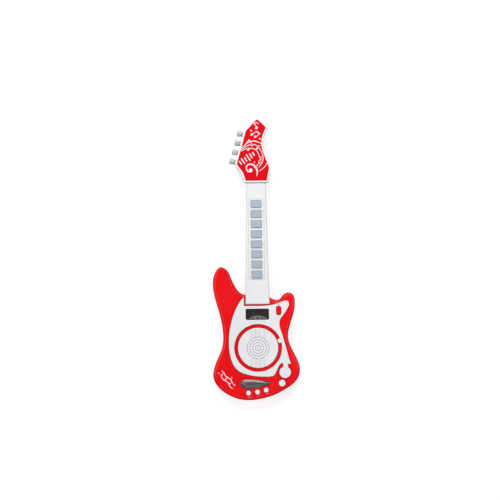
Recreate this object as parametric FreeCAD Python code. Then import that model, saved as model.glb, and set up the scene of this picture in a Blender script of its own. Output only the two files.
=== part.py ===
import FreeCAD, Part
import math
import os

# Toy electric guitar, in millimetres. It is drawn face up: +Z is the playing side, +Y runs up the
# neck and +X is to the right. While drawing, X = 0 is the neck's axis, Y = 0 the body's lower edge
# and Z = 0 the back. At the end every piece is moved so that the origin is the centre of the
# bottom of the whole object's box.

OUT = "parts"

# ---------------------------------------------------------------- body casing
WALL = 2.2
BODY_SPLIT = 17.0
BODY_FACE = 36.0
FRONT_ROUND = 5.0
SEAM_ROUND = 0.35
LOOP_SPANS = 8
ROUND_STEPS = 4
BACK_ROUND = 6.0
LIP_HEIGHT = 2.0
LIP_THICK = 1.2
LIP_GAP = 0.15

# The outline runs clockwise from the tip of the left horn.
BODY_OUTLINE = [
    (-68.5, 259.4), (-59.8, 254.2), (-52.0, 239.0), (-44.0, 221.8), (-36.0, 210.6), (-27.0, 204.6),
    (-8.0, 204.6), (12.0, 204.8), (23.0, 201.8), (29.2, 195.4), (36.6, 192.0), (44.0, 196.2),
    (52.6, 205.4), (61.4, 209.4), (69.4, 204.0), (72.5, 188.0), (70.4, 172.0), (65.8, 156.0),
    (60.6, 139.0), (58.4, 124.0), (61.9, 108.0), (69.3, 92.0), (77.1, 76.0), (80.9, 58.0),
    (76.9, 43.0), (68.0, 32.0), (52.2, 21.2), (32.5, 10.9), (8.0, 3.5), (-16.0, 0.4), (-40.0, 3.2),
    (-61.1, 12.4), (-79.3, 28.0), (-87.4, 44.0), (-86.8, 60.0), (-81.3, 76.0), (-73.7, 92.0),
    (-68.6, 109.0), (-67.8, 131.0), (-71.2, 156.0), (-77.2, 180.0), (-83.8, 204.0),
    (-86.6, 227.0), (-80.6, 251.4)]

# ---------------------------------------------------------------- control field
FIELD_DEPTH = 0.8
FIELD_OUTLINE = [
    (-40.5, 33.0), (-37.5, 41.0), (-28.0, 44.8), (-10.0, 45.0), (10.0, 43.0), (28.0, 40.8),
    (40.0, 41.4), (50.0, 41.4), (57.6, 37.0), (56.5, 28.4), (49.0, 21.6), (36.0, 15.8),
    (20.0, 11.6), (2.0, 9.2), (-16.0, 8.6), (-29.0, 11.0), (-37.0, 19.0)]
LENS_OUTLINE = [
    (-35.2, 33.0), (-33.2, 38.4), (-27.5, 41.2), (-18.0, 41.3), (-6.0, 40.3), (6.0, 38.8),
    (16.0, 37.0), (23.0, 35.1), (22.6, 32.4), (12.0, 28.2), (0.0, 24.9), (-11.0, 22.9), (-21.0, 22.3),
    (-29.0, 24.0), (-33.6, 28.0)]
SMALL_BUTTONS = [(-19.6, 14.8), (-2.3, 16.6), (14.6, 20.2)]
SMALL_BUTTON_R = 4.7
PLAY_BUTTON = (45.9, 33.6)
PLAY_BUTTON_R = 6.5
BUTTON_TOP = 37.6
BUTTON_GAP = 0.25
BUTTON_RIM = 1.2

LENS_RISE = 2.1
LENS_ROUND = 0.8
LENS_LAMPS = [(-27.0, 32.0), (-12.0, 32.0), (3.0, 32.0)]

# ---------------------------------------------------------------- pickguard and speaker
PLATE_LIFT = 0.05
PLATE_TOP = 38.0
PLATE_LEFT_RUN = [
    (-28.8, 199.2), (-37.1, 188.0), (-45.0, 172.0), (-52.5, 148.0), (-56.6, 117.0), (-56.1, 99.0),
    (-52.5, 81.0), (-45.8, 66.0), (-36.0, 56.8), (-22.0, 51.2), (-4.0, 47.4), (14.0, 46.7),
    (25.0, 47.1), (30.4, 49.2), (34.0, 54.8), (37.0, 61.2), (41.4, 69.2), (48.2, 73.0)]
PLATE_RIGHT_RUN = [
    (63.7, 70.4), (59.0, 84.0), (55.0, 100.0), (50.6, 116.0), (45.8, 132.0), (41.9, 148.0),
    (43.8, 158.0), (48.1, 164.0), (53.8, 172.0), (58.6, 180.0), (61.0, 187.6), (57.6, 193.2),
    (50.4, 192.7), (40.0, 189.0), (24.0, 185.0), (8.0, 183.8), (-26.4, 183.7)]
PLATE_TIP = (-26.4, 199.4)
ROUND_END = (51.8, 54.6)
ROUND_END_R = 11.2
ROUND_END_NECK = (48.2, 57.5)
MOAT_R = 14.4
PLATE_PEGS = [(-51.3, 105.0), (51.0, 98.0), (-38.0, 170.0), (49.5, 183.0), (-27.0, 58.0), (24.0, 54.0)]
PLATE_PEG_R = 1.4
PLATE_PEG_GAP = 0.15

SPEAKER = (0.0, 102.5)
GRILLE_R = 39.0
RING_R = 46.3
RING_DEPTH = 0.8
GRILLE_TOP = 38.5
SPEAKER_HOLE_R = 26.8
SPEAKER_SCREW_R = 32.2
SPEAKER_EAR_Z = (27.6, 29.1)
HOLE_RINGS = [(5.4, 10), (10.6, 20), (15.9, 30), (21.2, 40)]
HOLE_R = 0.85
TAB = (42.0, 116.0)
TAB_R = 4.3
RIB_X = [-13.3, -4.9, 3.5, 11.9]
RIB_WIDTH = 1.3
RIB_STOP_R = 24.0
RIB_HEIGHT = 0.8

# ---------------------------------------------------------------- light window
WINDOW = (-0.7, 167.8)
WINDOW_SIZE = (45.0, 21.2)
WINDOW_STEP = 2.0
WINDOW_TOP = 37.7
TRAY_BACK = 24.0
TRAY_SIZE = (44.0, 20.2)
TRAY_WALL = 1.5
TRAY_EARS = [(-28.0, 167.8), (26.6, 167.8)]
EAR_THICK = 1.6
LAMP_DX = (-16, -9, 9, 16)
LAMP_DY = 3.0
LAMP_HOLE_R = 1.7

# ---------------------------------------------------------------- rocker
ROCKER = (40.8, 174.6)
ROCKER_SIZE = (10.0, 17.0)
ROCKER_TOP = 39.0
ROCKER_PIVOT_Z = 32.4
ROCKER_PIN_R = 1.0
ROCKER_SIDE_GAP = 0.35
ROCKER_END_GAP = 0.8
ROCKER_BOARD_Z = (24.6, 26.2)
LUG_REACH = 6.5
LUG_HALF = (0.7, 2.4)
LUG_FOOT_Z = 30.6
SWITCH_REACH = 4.6
SWITCH_Z = (29.6, 30.3)

# ---------------------------------------------------------------- neck
NECK_START = 187.0
NECK_END = 422.3
NECK_HALF_START = 23.5
NECK_HALF_END = 18.6
NECK_BACK = 20.0
NECK_SPLIT = 29.0
NECK_FACE = 38.0
NECK_WALL = 2.0
POCKET_FLOOR = 19.8
POCKET_GAP = 0.3
POCKET_STRIP = 3.0
POCKET_END = 206.0

# ---------------------------------------------------------------- keys
KEY_COUNT = 8
KEY_X = -0.5
KEY_SIZE = (20.0, 14.3)
KEY_PITCH = 19.54
KEY_FIRST_Y = 381.75
KEY_TOP = 41.3
KEY_GAP = 0.25
KEY_FOOT_Z = 34.7
KEY_FLANGE = 0.9
FIELD_SIZE = (29.5, 156.0)
FIELD_TOP = 39.2
KEY_BOARD_Z = (29.5, 31.1)
KEY_BOARD_HALF = 16.0
KEY_BOARD_Y = (230.5, 396.0)
KEY_BOARD_SCREWS = [(side, y) for side in (-14.4, 13.4) for y in (233.2, 313.35, 393.3)]

# ---------------------------------------------------------------- headstock
HEAD_BACK = 20.0
HEAD_SPLIT = 30.0
HEAD_FACE = 40.0
HEAD_BORDER = 3.9
HEAD_WALL = 2.2
PLATE_RECESS = 1.2
PLATE_PROUD = 0.15
# The face plate's corners: x, y and the radius of the rounding.
HEAD_PLATE = [
    (3.6, 546.0, 3.0), (20.6, 529.6, 2.5), (7.3, 501.0, 50.0), (25.8, 451.8, 5.0),
    (20.9, 426.5, 1.5), (-20.0, 426.5, 1.5), (-24.5, 442.0, 30.0), (-36.8, 458.6, 4.0),
    (-18.3, 523.4, 4.0)]
TENON_HALF = 12.0
TENON_TOP = 437.0
TENON_Z = 24.0

PEG_COUNT = 4
PEG_FIRST = 3.6
PEG_PITCH = 18.6
PEG_SHAFT_R = 2.0
PEG_HOLE_R = 2.08
PEG_FACE_R = 11.0
PEG_THICK = 9.0
# The knob's profile, from the casing outwards: radius and distance along the axis.
PEG_KNOB = [
    (3.9, 0.2), (4.6, 1.0), (4.8, 2.6), (4.5, 3.9), (5.0, 5.0), (5.8, 6.4), (6.1, 8.0), (5.9, 9.6),
    (5.1, 10.9), (3.6, 11.6)]

# ---------------------------------------------------------------- boards
MAIN_BOARD = [(-42.0, 11.5), (19.0, 11.5), (54.0, 28.5), (54.0, 42.0), (-42.0, 42.0)]
MAIN_BOARD_Z = (27.0, 28.6)
MAIN_BOARD_SCREWS = [(-39.3, 39.0), (-39.3, 14.5), (26.5, 18.6), (33.0, 38.6)]
MAT_THICK = 1.0
DOME_HEIGHT = 3.2
KEY_DOME_HEIGHT = 2.6
# Chips on the main board's back: x and y limits and how far each stands off the board.
CHIPS = [(-22, -10, 20, 32, 1.6), (4, 12, 24, 29, 1.5), (-4, -1, 34, 36, 1.0), (16, 22, 33, 38, 2.2)]
# Round capacitors there: place, radius and height.
CAPACITORS = [(40, 30, 3.2, 5.2), (-31, 27, 2.5, 4.4)]

# ---------------------------------------------------------------- battery bay
BAY_X = 29.0
BAY_Y = (37.0, 83.5)
BAY_TOP = 17.8
BAY_WALL = 1.6
CELL_R = 7.25
CELL_LENGTH = 50.5
CELL_NUB = 1.2
CELL_Z = 10.2
DOOR_HALF = 31.2
DOOR_START = 28.6
DOOR_HINGE = (86.0, 1.9)
DOOR_NOSE_R = 1.6
DOOR_Z = (0.3, 2.3)
DOOR_PIN_R = 0.9
DOOR_SCREW = (0.0, 33.2)
DOOR_GAP = 0.25

# ---------------------------------------------------------------- wires
NECK_CABLE_X = -6.0
CABLE_HOLE_Z = 24.0
CABLE_R = 1.3
WIRE_R = 0.7
WIRE_PITCH = 2.2

# ---------------------------------------------------------------- screws
SCREW_HEAD_R = 2.6
SCREW_HEAD = 2.0
SCREW_R = 1.3
PILOT_R = 1.35
PASS_R = 1.6
WELL_R = 3.1
POST_R = 4.3
# Heights at which the screw heads seat, and the heights of the screws' tips.
BODY_SEAT = 8.0
BODY_TIP = 26.0
JOINT_SEAT = 14.4
JOINT_TIP = 26.4
NECK_SEAT = 23.4
NECK_TIP = 33.0
HEAD_SEAT = 23.2
HEAD_TIP = 33.0
TENON_SEAT = 22.2
TENON_TIP = 30.5
SPEAKER_TIP = 32.2
KEY_BOARD_TIP = 34.0
MAIN_BOARD_TIP = 32.0
TRAY_TIP = 30.0
ROCKER_BOARD_TIP = 31.0
DOOR_SCREW_Z = (0.8, 6.6)
BOARD_GAP = 0.1
# Radii of the bosses that the screws bite into.
BODY_BOSS_R = 3.2
NECK_BOSS_R = 3.0
SPEAKER_BOSS_R = 2.8
BOARD_BOSS_R = 2.4
ROCKER_BOSS_R = 2.2
KEY_BOARD_BOSS_R = 1.9
BODY_SCREWS = [
    (-70.0, 243.0), (-72.4, 190.0), (-59.0, 129.0), (-76.5, 62.0), (-50.0, 17.5), (65.0, 44.0),
    (51.0, 122.0), (61.5, 196.0)]
NECK_JOINT_SCREWS = [(side * x, y) for side in (-1, 1) for x, y in ((16.0, 190.8), (11.5, 197.2))]
NECK_SCREWS = [(-12.0, 214.0), (12.0, 214.0), (-11.0, 408.0), (11.0, 408.0)]
HEAD_SCREWS = [(-8.0, 527.0), (2.0, 478.0), (-20.0, 462.0), (17.0, 452.0)]
TENON_SCREWS = [(-7.0, 430.0), (7.0, 430.0)]


# ---------------------------------------------------------------- shape helpers
def vec(x, y, z=0.0):
    return FreeCAD.Vector(x, y, z)


def box(x0, x1, y0, y1, z0, z1):
    return Part.makeBox(x1 - x0, y1 - y0, z1 - z0, vec(x0, y0, z0))


def post(x, y, radius, z0, z1):
    return Part.makeCylinder(radius, z1 - z0, vec(x, y, z0))


def rod(start, end, radius):
    run = end - start
    return Part.makeCylinder(radius, run.Length, start, run)


def fuse_all(shapes):
    joined = shapes[0]
    if len(shapes) > 1:
        joined = joined.multiFuse(shapes[1:])
    return joined.removeSplitter()


def cut_all(shape, tools):
    return shape.cut(Part.makeCompound(tools))


def prism(wire, z0, z1):
    face = Part.Face(wire)
    face.translate(vec(0, 0, z0))
    return face.extrude(vec(0, 0, z1 - z0))


def closed_curve(points):
    curve = Part.BSplineCurve()
    curve.interpolate([vec(x, y) for x, y in points], PeriodicFlag=True)
    return curve


def loop(points):
    """A smooth closed wire through the points, in several spans of one curve."""
    curve = closed_curve(points)
    start = curve.FirstParameter
    span = (curve.LastParameter - start) / LOOP_SPANS
    return Part.Wire([curve.toShape(start + span * index, start + span * (index + 1))
                      for index in range(LOOP_SPANS)])


def inset_points(points, distance, count=48):
    """Points of the loop that runs a distance inside a clockwise smooth loop."""
    curve = closed_curve(points)
    span = curve.LastParameter - curve.FirstParameter
    moved = []
    for index in range(count):
        parameter = curve.FirstParameter + span * index / count
        here = curve.value(parameter)
        along = curve.tangent(parameter)[0]
        moved.append((here.x + along.y * distance, here.y - along.x * distance))
    return moved


def lifted_loop(points, inset, z):
    wire = loop(inset_points(points, inset))
    wire.translate(vec(0, 0, z))
    return wire


def rounded_slab(points, z_seam, z_face, radius, seam):
    """A slab inside a smooth loop, rounded over at z_face and eased by a chamfer at z_seam."""
    way = 1 if z_face > z_seam else -1
    z_wall = z_seam + way * seam
    curl = []
    for step in range(ROUND_STEPS + 1):
        angle = math.pi / 2 * step / ROUND_STEPS
        curl.append((radius * (1 - math.cos(angle)),
                     z_face - way * radius * (1 - math.sin(angle))))
    runs = [([(0.0, z_wall), curl[0]], True), (curl, False)]
    if seam:
        runs.append(([(seam, z_seam), (0.0, z_wall)], True))
    faces = [Part.Face(lifted_loop(points, seam, z_seam)),
             Part.Face(lifted_loop(points, radius, z_face))]
    for levels, straight in runs:
        wires = [lifted_loop(points, inset, z) for inset, z in levels]
        faces += Part.makeLoft(wires, False, straight).Faces
    skin = Part.Shell(faces)
    skin.sewShape()
    solid = Part.Solid(skin.Shells[0])
    if solid.Volume < 0:
        solid.reverse()
    return solid


def ring_prism(outer, inner, z0, z1):
    """A wall between two smooth loops."""
    face = Part.Face(loop(outer)).cut(Part.Face(loop(inner)))
    face.translate(vec(0, 0, z0))
    return face.extrude(vec(0, 0, z1 - z0))


def smooth_run(points):
    curve = Part.BSplineCurve()
    curve.interpolate([vec(x, y) for x, y in points])
    return curve.toShape()


def line(start, end):
    return Part.LineSegment(vec(*start), vec(*end)).toShape()


def rounded_polygon(corners):
    """A closed wire round corners given as x, y and rounding radius."""
    count = len(corners)
    joins = []
    for index, (x, y, radius) in enumerate(corners):
        here = vec(x, y)
        back = (vec(*corners[index - 1][:2]) - here).normalize()
        ahead = (vec(*corners[(index + 1) % count][:2]) - here).normalize()
        half = back.getAngle(ahead) / 2
        reach = radius / math.tan(half)
        middle = (back + ahead).normalize()
        top = here + middle * (radius / math.sin(half) - radius)
        joins.append((here + back * reach, top, here + ahead * reach))
    edges = []
    for index, (start, top, end) in enumerate(joins):
        edges.append(Part.Arc(start, top, end).toShape())
        edges.append(Part.LineSegment(end, joins[(index + 1) % count][0]).toShape())
    return Part.Wire(edges)


def rounded_box(centre, size, radius, z0, z1):
    x, y = centre
    dx, dy = size[0] / 2, size[1] / 2
    corners = [(x - dx, y - dy, radius), (x - dx, y + dy, radius),
               (x + dx, y + dy, radius), (x + dx, y - dy, radius)]
    return prism(rounded_polygon(corners), z0, z1)


def edges_at(shape, z):
    """The edges of a shape that lie flat at one height."""
    flat = []
    for edge in shape.Edges:
        limits = edge.BoundBox
        if abs(limits.ZMin - z) < 1e-4 and abs(limits.ZMax - z) < 1e-4:
            flat.append(edge)
    return flat


def upright_edges(shape):
    """The straight edges of a plate that stand along Z, which are its sharp corners."""
    upright = []
    for edge in shape.Edges:
        limits = edge.BoundBox
        if limits.ZLength > 1.0 and limits.XLength < 1e-6 and limits.YLength < 1e-6:
            upright.append(edge)
    return upright


def rounded_at(shape, z, radius):
    return shape.makeFillet(radius, edges_at(shape, z))


def turned(profile, centre=(0.0, 0.0)):
    """A solid of revolution about Z from a closed profile of radius and height."""
    outline = Part.makePolygon([vec(r, 0, z) for r, z in profile + profile[:1]])
    solid = Part.Face(outline).revolve(vec(0, 0), vec(0, 0, 1), 360)
    solid.translate(vec(*centre))
    return solid


def bent_tube(points, radius):
    """A round wire along straight runs that are joined by arcs."""
    points = [vec(*point) for point in points]
    edges = []
    start = points[0]
    for before, here, after in zip(points, points[1:], points[2:]):
        back = before - here
        ahead = after - here
        reach = 0.45 * min(back.Length, ahead.Length)
        back.normalize()
        ahead.normalize()
        half = back.getAngle(ahead) / 2
        bend = reach * math.tan(half)
        middle = (back + ahead).normalize()
        top = here + middle * (bend / math.sin(half) - bend)
        edges.append(Part.LineSegment(start, here + back * reach).toShape())
        edges.append(Part.Arc(here + back * reach, top, here + ahead * reach).toShape())
        start = here + ahead * reach
    edges.append(Part.LineSegment(start, points[-1]).toShape())
    path = Part.Wire(edges)
    section = Part.Wire([Part.makeCircle(radius, points[0], points[1] - points[0])])
    return path.makePipeShell([section], True, False)


# ---------------------------------------------------------------- screws and posts
def screw(x, y, head_z, tip_z):
    """A self-tapping screw driven in from the back, with a cross recess."""
    head = post(x, y, SCREW_HEAD_R, head_z, head_z + SCREW_HEAD)
    head = rounded_at(head, head_z, 0.6)
    shank = post(x, y, SCREW_R, head_z + SCREW_HEAD, tip_z - 1.0)
    tip = Part.makeCone(SCREW_R, 0.4, 1.0, vec(x, y, tip_z - 1.0))
    body = fuse_all([head, shank, tip])
    slots = [box(x - 1.6, x + 1.6, y - 0.3, y + 0.3, head_z - 1, head_z + 1.1),
             box(x - 0.3, x + 0.3, y - 1.6, y + 1.6, head_z - 1, head_z + 1.1)]
    return cut_all(body, slots)


def screws(places, head_z, tip_z):
    return Part.makeCompound([screw(x, y, head_z, tip_z) for x, y in places])


def board_screws(places, underside, tip_z):
    """Screws that hold a board or a bracket from below."""
    return screws(places, underside - SCREW_HEAD - BOARD_GAP, tip_z)


def well_posts(places, z0, seat, top):
    """Posts for a back shell, and the holes that take a screw head and its shank."""
    posts = [post(x, y, POST_R, z0, top) for x, y in places]
    holes = [post(x, y, WELL_R, z0 - 4, seat) for x, y in places]
    holes += [post(x, y, PASS_R, seat - 1, top + 1) for x, y in places]
    return posts, holes


def pilot_posts(places, radius, z0, z1):
    """Bosses for a front shell, and their blind pilot holes, open at z0."""
    posts = [post(x, y, radius, z0, z1) for x, y in places]
    holes = [post(x, y, PILOT_R, z0 - 1, z1 - 1.5) for x, y in places]
    return posts, holes


# ---------------------------------------------------------------- body shells
BODY_INSIDE = inset_points(BODY_OUTLINE, WALL)


def neck_half(y):
    share = (y - NECK_START) / (NECK_END - NECK_START)
    return NECK_HALF_START + (NECK_HALF_END - NECK_HALF_START) * share


def neck_outline(margin, start, end):
    """The neck's plan shape, wider by a margin on every side."""
    wide = neck_half(start) + margin
    slim = neck_half(end) + margin
    corners = [(-wide, start, 1.5), (-slim, end, 0.5), (slim, end, 0.5), (wide, start, 1.5)]
    return rounded_polygon(corners)


def round_speaker(angle, radius):
    """The point at an angle in degrees and a radius from the speaker's centre."""
    turn = math.radians(angle)
    return (SPEAKER[0] + radius * math.cos(turn), SPEAKER[1] + radius * math.sin(turn))


def speaker_screw_places():
    return [round_speaker(angle, SPEAKER_SCREW_R) for angle in (90, 210, 330)]


def body_front_shell():
    outer = rounded_slab(BODY_OUTLINE, BODY_SPLIT, BODY_FACE, FRONT_ROUND, SEAM_ROUND)
    inside = prism(loop(BODY_INSIDE), BODY_SPLIT - 1, BODY_FACE - WALL)
    roof = BODY_FACE - WALL
    field_floor = BODY_FACE - FIELD_DEPTH

    pocket = prism(neck_outline(POCKET_GAP + WALL, NECK_START - POCKET_GAP - WALL, POCKET_END),
                   POCKET_FLOOR - WALL, BODY_FACE)
    pocket = pocket.common(outer)
    inner_posts = []
    holes = []
    for places, radius, z0 in (
            (BODY_SCREWS, BODY_BOSS_R, BODY_SPLIT + 0.2),
            (MAIN_BOARD_SCREWS, BOARD_BOSS_R, MAIN_BOARD_Z[1] + BOARD_GAP),
            (speaker_screw_places(), SPEAKER_BOSS_R, SPEAKER_EAR_Z[1] + BOARD_GAP),
            (TRAY_EARS, BOARD_BOSS_R, TRAY_BACK + EAR_THICK + BOARD_GAP),
            (rocker_board_screws(), ROCKER_BOSS_R, ROCKER_BOARD_Z[1] + BOARD_GAP)):
        new_posts, new_holes = pilot_posts(places, radius, z0, roof + 0.1)
        inner_posts += new_posts
        holes += new_holes
    lugs = [box(x - LUG_HALF[0], x + LUG_HALF[0], ROCKER[1] - LUG_HALF[1], ROCKER[1] + LUG_HALF[1],
                LUG_FOOT_Z, roof + 0.1) for x in (ROCKER[0] - LUG_REACH, ROCKER[0] + LUG_REACH)]
    shell = outer.cut(inside)
    shell = shell.fuse([pocket] + inner_posts + lugs)

    holes.append(prism(neck_outline(POCKET_GAP, NECK_START - POCKET_GAP, 220),
                       POCKET_FLOOR, BODY_FACE + 1))
    holes += [post(x, y, PASS_R, POCKET_FLOOR - WALL - 1, POCKET_FLOOR + 1)
              for x, y in NECK_JOINT_SCREWS]
    holes.append(cable_hole())
    holes.append(box(PLATE_TIP[0], NECK_HALF_START, NECK_START - POCKET_STRIP, 198,
                     BODY_FACE - 1.0, BODY_FACE + 1))
    holes.append(prism(loop(FIELD_OUTLINE), field_floor, BODY_FACE + 1))
    holes.append(post(*ROUND_END, MOAT_R, field_floor, BODY_FACE + 1).cut(
        post(*ROUND_END, ROUND_END_R, field_floor, BODY_FACE + 1)))
    holes.append(post(*SPEAKER, RING_R - 0.4, BODY_FACE - RING_DEPTH, BODY_FACE + 1).cut(
        post(*SPEAKER, GRILLE_R - 1.0, BODY_FACE - RING_DEPTH, BODY_FACE + 1)))
    holes.append(post(*SPEAKER, SPEAKER_HOLE_R, roof - 1, BODY_FACE + 1))
    step = 2 * WINDOW_STEP
    holes.append(rounded_box(WINDOW, (WINDOW_SIZE[0] - step, WINDOW_SIZE[1] - step), 1.5,
                             roof - 1, BODY_FACE + 1))
    holes.append(prism(loop(inset_points(LENS_OUTLINE, 1.5, 24)), roof - 1, BODY_FACE + 1))
    holes += [post(x, y, SMALL_BUTTON_R + BUTTON_GAP, roof - 1, BODY_FACE + 1)
              for x, y in SMALL_BUTTONS]
    holes.append(post(*PLAY_BUTTON, PLAY_BUTTON_R + BUTTON_GAP, roof - 1, BODY_FACE + 1))
    holes.append(rocker_shape(ROCKER_SIDE_GAP, ROCKER_END_GAP, roof - 1, BODY_FACE + 1))
    holes.append(rod(vec(ROCKER[0] - 8, ROCKER[1], ROCKER_PIVOT_Z),
                     vec(ROCKER[0] + 8, ROCKER[1], ROCKER_PIVOT_Z), ROCKER_PIN_R + 0.06))
    holes += [post(x, y, PLATE_PEG_R + PLATE_PEG_GAP, roof - 1, BODY_FACE + 1)
              for x, y in PLATE_PEGS]
    return cut_all(shell, holes)


def body_back_shell():
    outer = rounded_slab(BODY_OUTLINE, BODY_SPLIT, 0, BACK_ROUND, SEAM_ROUND)
    inside = rounded_slab(BODY_INSIDE, BODY_SPLIT + 1, WALL, BACK_ROUND - WALL, 0)
    lip = ring_prism(inset_points(BODY_OUTLINE, WALL + LIP_GAP),
                     inset_points(BODY_OUTLINE, WALL + LIP_GAP + LIP_THICK),
                     BODY_SPLIT - 2, BODY_SPLIT + LIP_HEIGHT)
    lip = lip.cut(box(-30, 30, 176, 210, BODY_SPLIT, BODY_SPLIT + 5))
    skirt = ring_prism(inset_points(BODY_OUTLINE, WALL / 2),
                       inset_points(BODY_OUTLINE, WALL + LIP_GAP + LIP_THICK / 2),
                       BODY_SPLIT - 3, BODY_SPLIT - 1)
    posts, holes = well_posts(BODY_SCREWS, WALL - 0.2, BODY_SEAT, BODY_SPLIT)
    joint_posts, joint_holes = well_posts(NECK_JOINT_SCREWS, WALL - 0.2, JOINT_SEAT,
                                          POCKET_FLOOR - WALL - 0.1)
    bay = box(-BAY_X - BAY_WALL, BAY_X + BAY_WALL, BAY_Y[0] - BAY_WALL, BAY_Y[1] + BAY_WALL,
              WALL, BAY_TOP + BAY_WALL)
    frame = box(-DOOR_HALF - 3, DOOR_HALF + 3, DOOR_START - 3, DOOR_HINGE[0] + 4.5, 0.5, 4.8)
    screw_post = post(*DOOR_SCREW, 4.6, 2, 11)
    shell = outer.cut(inside)
    shell = shell.fuse([skirt, lip, bay, frame, screw_post] + posts + joint_posts)

    holes += joint_holes
    holes.append(box(-BAY_X, BAY_X, BAY_Y[0], BAY_Y[1], -1, BAY_TOP))
    holes.append(box(-DOOR_HALF - DOOR_GAP, DOOR_HALF + DOOR_GAP, DOOR_START - DOOR_GAP,
                     DOOR_HINGE[0], -1, DOOR_Z[1] + 0.2))
    holes.append(box(-DOOR_HALF - DOOR_GAP, DOOR_HALF + DOOR_GAP, DOOR_HINGE[0] - 2.2,
                     DOOR_HINGE[0] + DOOR_NOSE_R + 0.2, -1, DOOR_HINGE[1] + DOOR_NOSE_R + 0.2))
    holes.append(rod(vec(-DOOR_HALF - 2, *DOOR_HINGE), vec(DOOR_HALF + 2, *DOOR_HINGE),
                     DOOR_PIN_R + 0.06))
    holes.append(post(*DOOR_SCREW, 4.4, -1, 4.2))
    holes.append(post(*DOOR_SCREW, SCREW_R + 0.35, 4, 9))
    holes.append(rod(vec(-34, 40, 14), vec(-28, 40, 14), 2.0))
    return cut_all(shell, holes)


# ---------------------------------------------------------------- face of the body
def string_ribs(z, spans):
    """Low straight ribs that stand for the strings, cut to the given spans of Y."""
    ribs = []
    for x in RIB_X:
        for y0, y1 in spans:
            ribs.append(rounded_at(box(x - RIB_WIDTH / 2, x + RIB_WIDTH / 2, y0, y1,
                                       z - 0.3, z + RIB_HEIGHT), z + RIB_HEIGHT, 0.25))
    return ribs


def pickguard():
    base = BODY_FACE + PLATE_LIFT
    start = PLATE_LEFT_RUN[0]
    edges = [smooth_run(PLATE_LEFT_RUN), line(PLATE_LEFT_RUN[-1], PLATE_RIGHT_RUN[0]),
             smooth_run(PLATE_RIGHT_RUN), line(PLATE_RIGHT_RUN[-1], PLATE_TIP),
             line(PLATE_TIP, start)]
    plate = prism(Part.Wire(edges), base, PLATE_TOP)
    arm = box(ROUND_END_NECK[0], ROUND_END_NECK[1], ROUND_END[1], 76, base, PLATE_TOP)
    plate = fuse_all([plate, arm, post(*ROUND_END, ROUND_END_R, base, PLATE_TOP)])
    ring = post(*SPEAKER, RING_R, base - 1, PLATE_TOP + 1).cut(
        post(*TAB, TAB_R, base - 2, PLATE_TOP + 2))
    window = rounded_box(WINDOW, (WINDOW_SIZE[0] + 0.4, WINDOW_SIZE[1] + 0.4), 2.6,
                         base - 1, PLATE_TOP + 1)
    slot = rocker_shape(ROCKER_SIDE_GAP, ROCKER_END_GAP, base - 1, PLATE_TOP + 1)
    plate = plate.makeFillet(1.0, upright_edges(plate))
    plate = rounded_at(plate, PLATE_TOP, 0.5)
    plate = cut_all(plate, [ring, window, slot])
    pegs = [post(x, y, PLATE_PEG_R, BODY_FACE - WALL - 0.8, base + 0.5) for x, y in PLATE_PEGS]
    ribs = string_ribs(PLATE_TOP, [(150.2, 155.0)])
    return fuse_all([plate] + pegs + ribs)


def speaker_grille():
    base = BODY_FACE + PLATE_LIFT
    disc = rounded_at(post(*SPEAKER, GRILLE_R, base, GRILLE_TOP), GRILLE_TOP, 0.9)
    hub = post(*SPEAKER, SPEAKER_HOLE_R - 0.2, BODY_FACE - WALL + 0.3, base + 0.5)
    well = post(*SPEAKER, SPEAKER_HOLE_R - 1.6, BODY_FACE - WALL - 1, BODY_FACE + 0.6)
    places = [SPEAKER]
    for radius, count in HOLE_RINGS:
        places += [round_speaker(360.0 * index / count, radius) for index in range(count)]
    holes = [post(x, y, HOLE_R, BODY_FACE, GRILLE_TOP + 1) for x, y in places]
    ribs = []
    for x in RIB_X:
        reach = math.sqrt((GRILLE_R - 1.2) ** 2 - x ** 2)
        near = math.sqrt(RIB_STOP_R ** 2 - x ** 2)
        for y0, y1 in ((near, reach), (-reach, -near)):
            ribs.append(box(x - RIB_WIDTH / 2, x + RIB_WIDTH / 2, SPEAKER[1] + y0,
                            SPEAKER[1] + y1, GRILLE_TOP - 0.3, GRILLE_TOP + RIB_HEIGHT))
    return cut_all(fuse_all([disc, hub] + ribs), [well] + holes)


def light_window():
    base = BODY_FACE + PLATE_LIFT
    plate = rounded_box(WINDOW, WINDOW_SIZE, 2.4, base, WINDOW_TOP)
    plate = rounded_at(plate, WINDOW_TOP, 0.5)
    step = 2 * WINDOW_STEP + 0.4
    plug = rounded_box(WINDOW, (WINDOW_SIZE[0] - step, WINDOW_SIZE[1] - step), 1.4,
                       BODY_FACE - WALL + 0.1, base + 0.3)
    return fuse_all([plate, plug])


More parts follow.
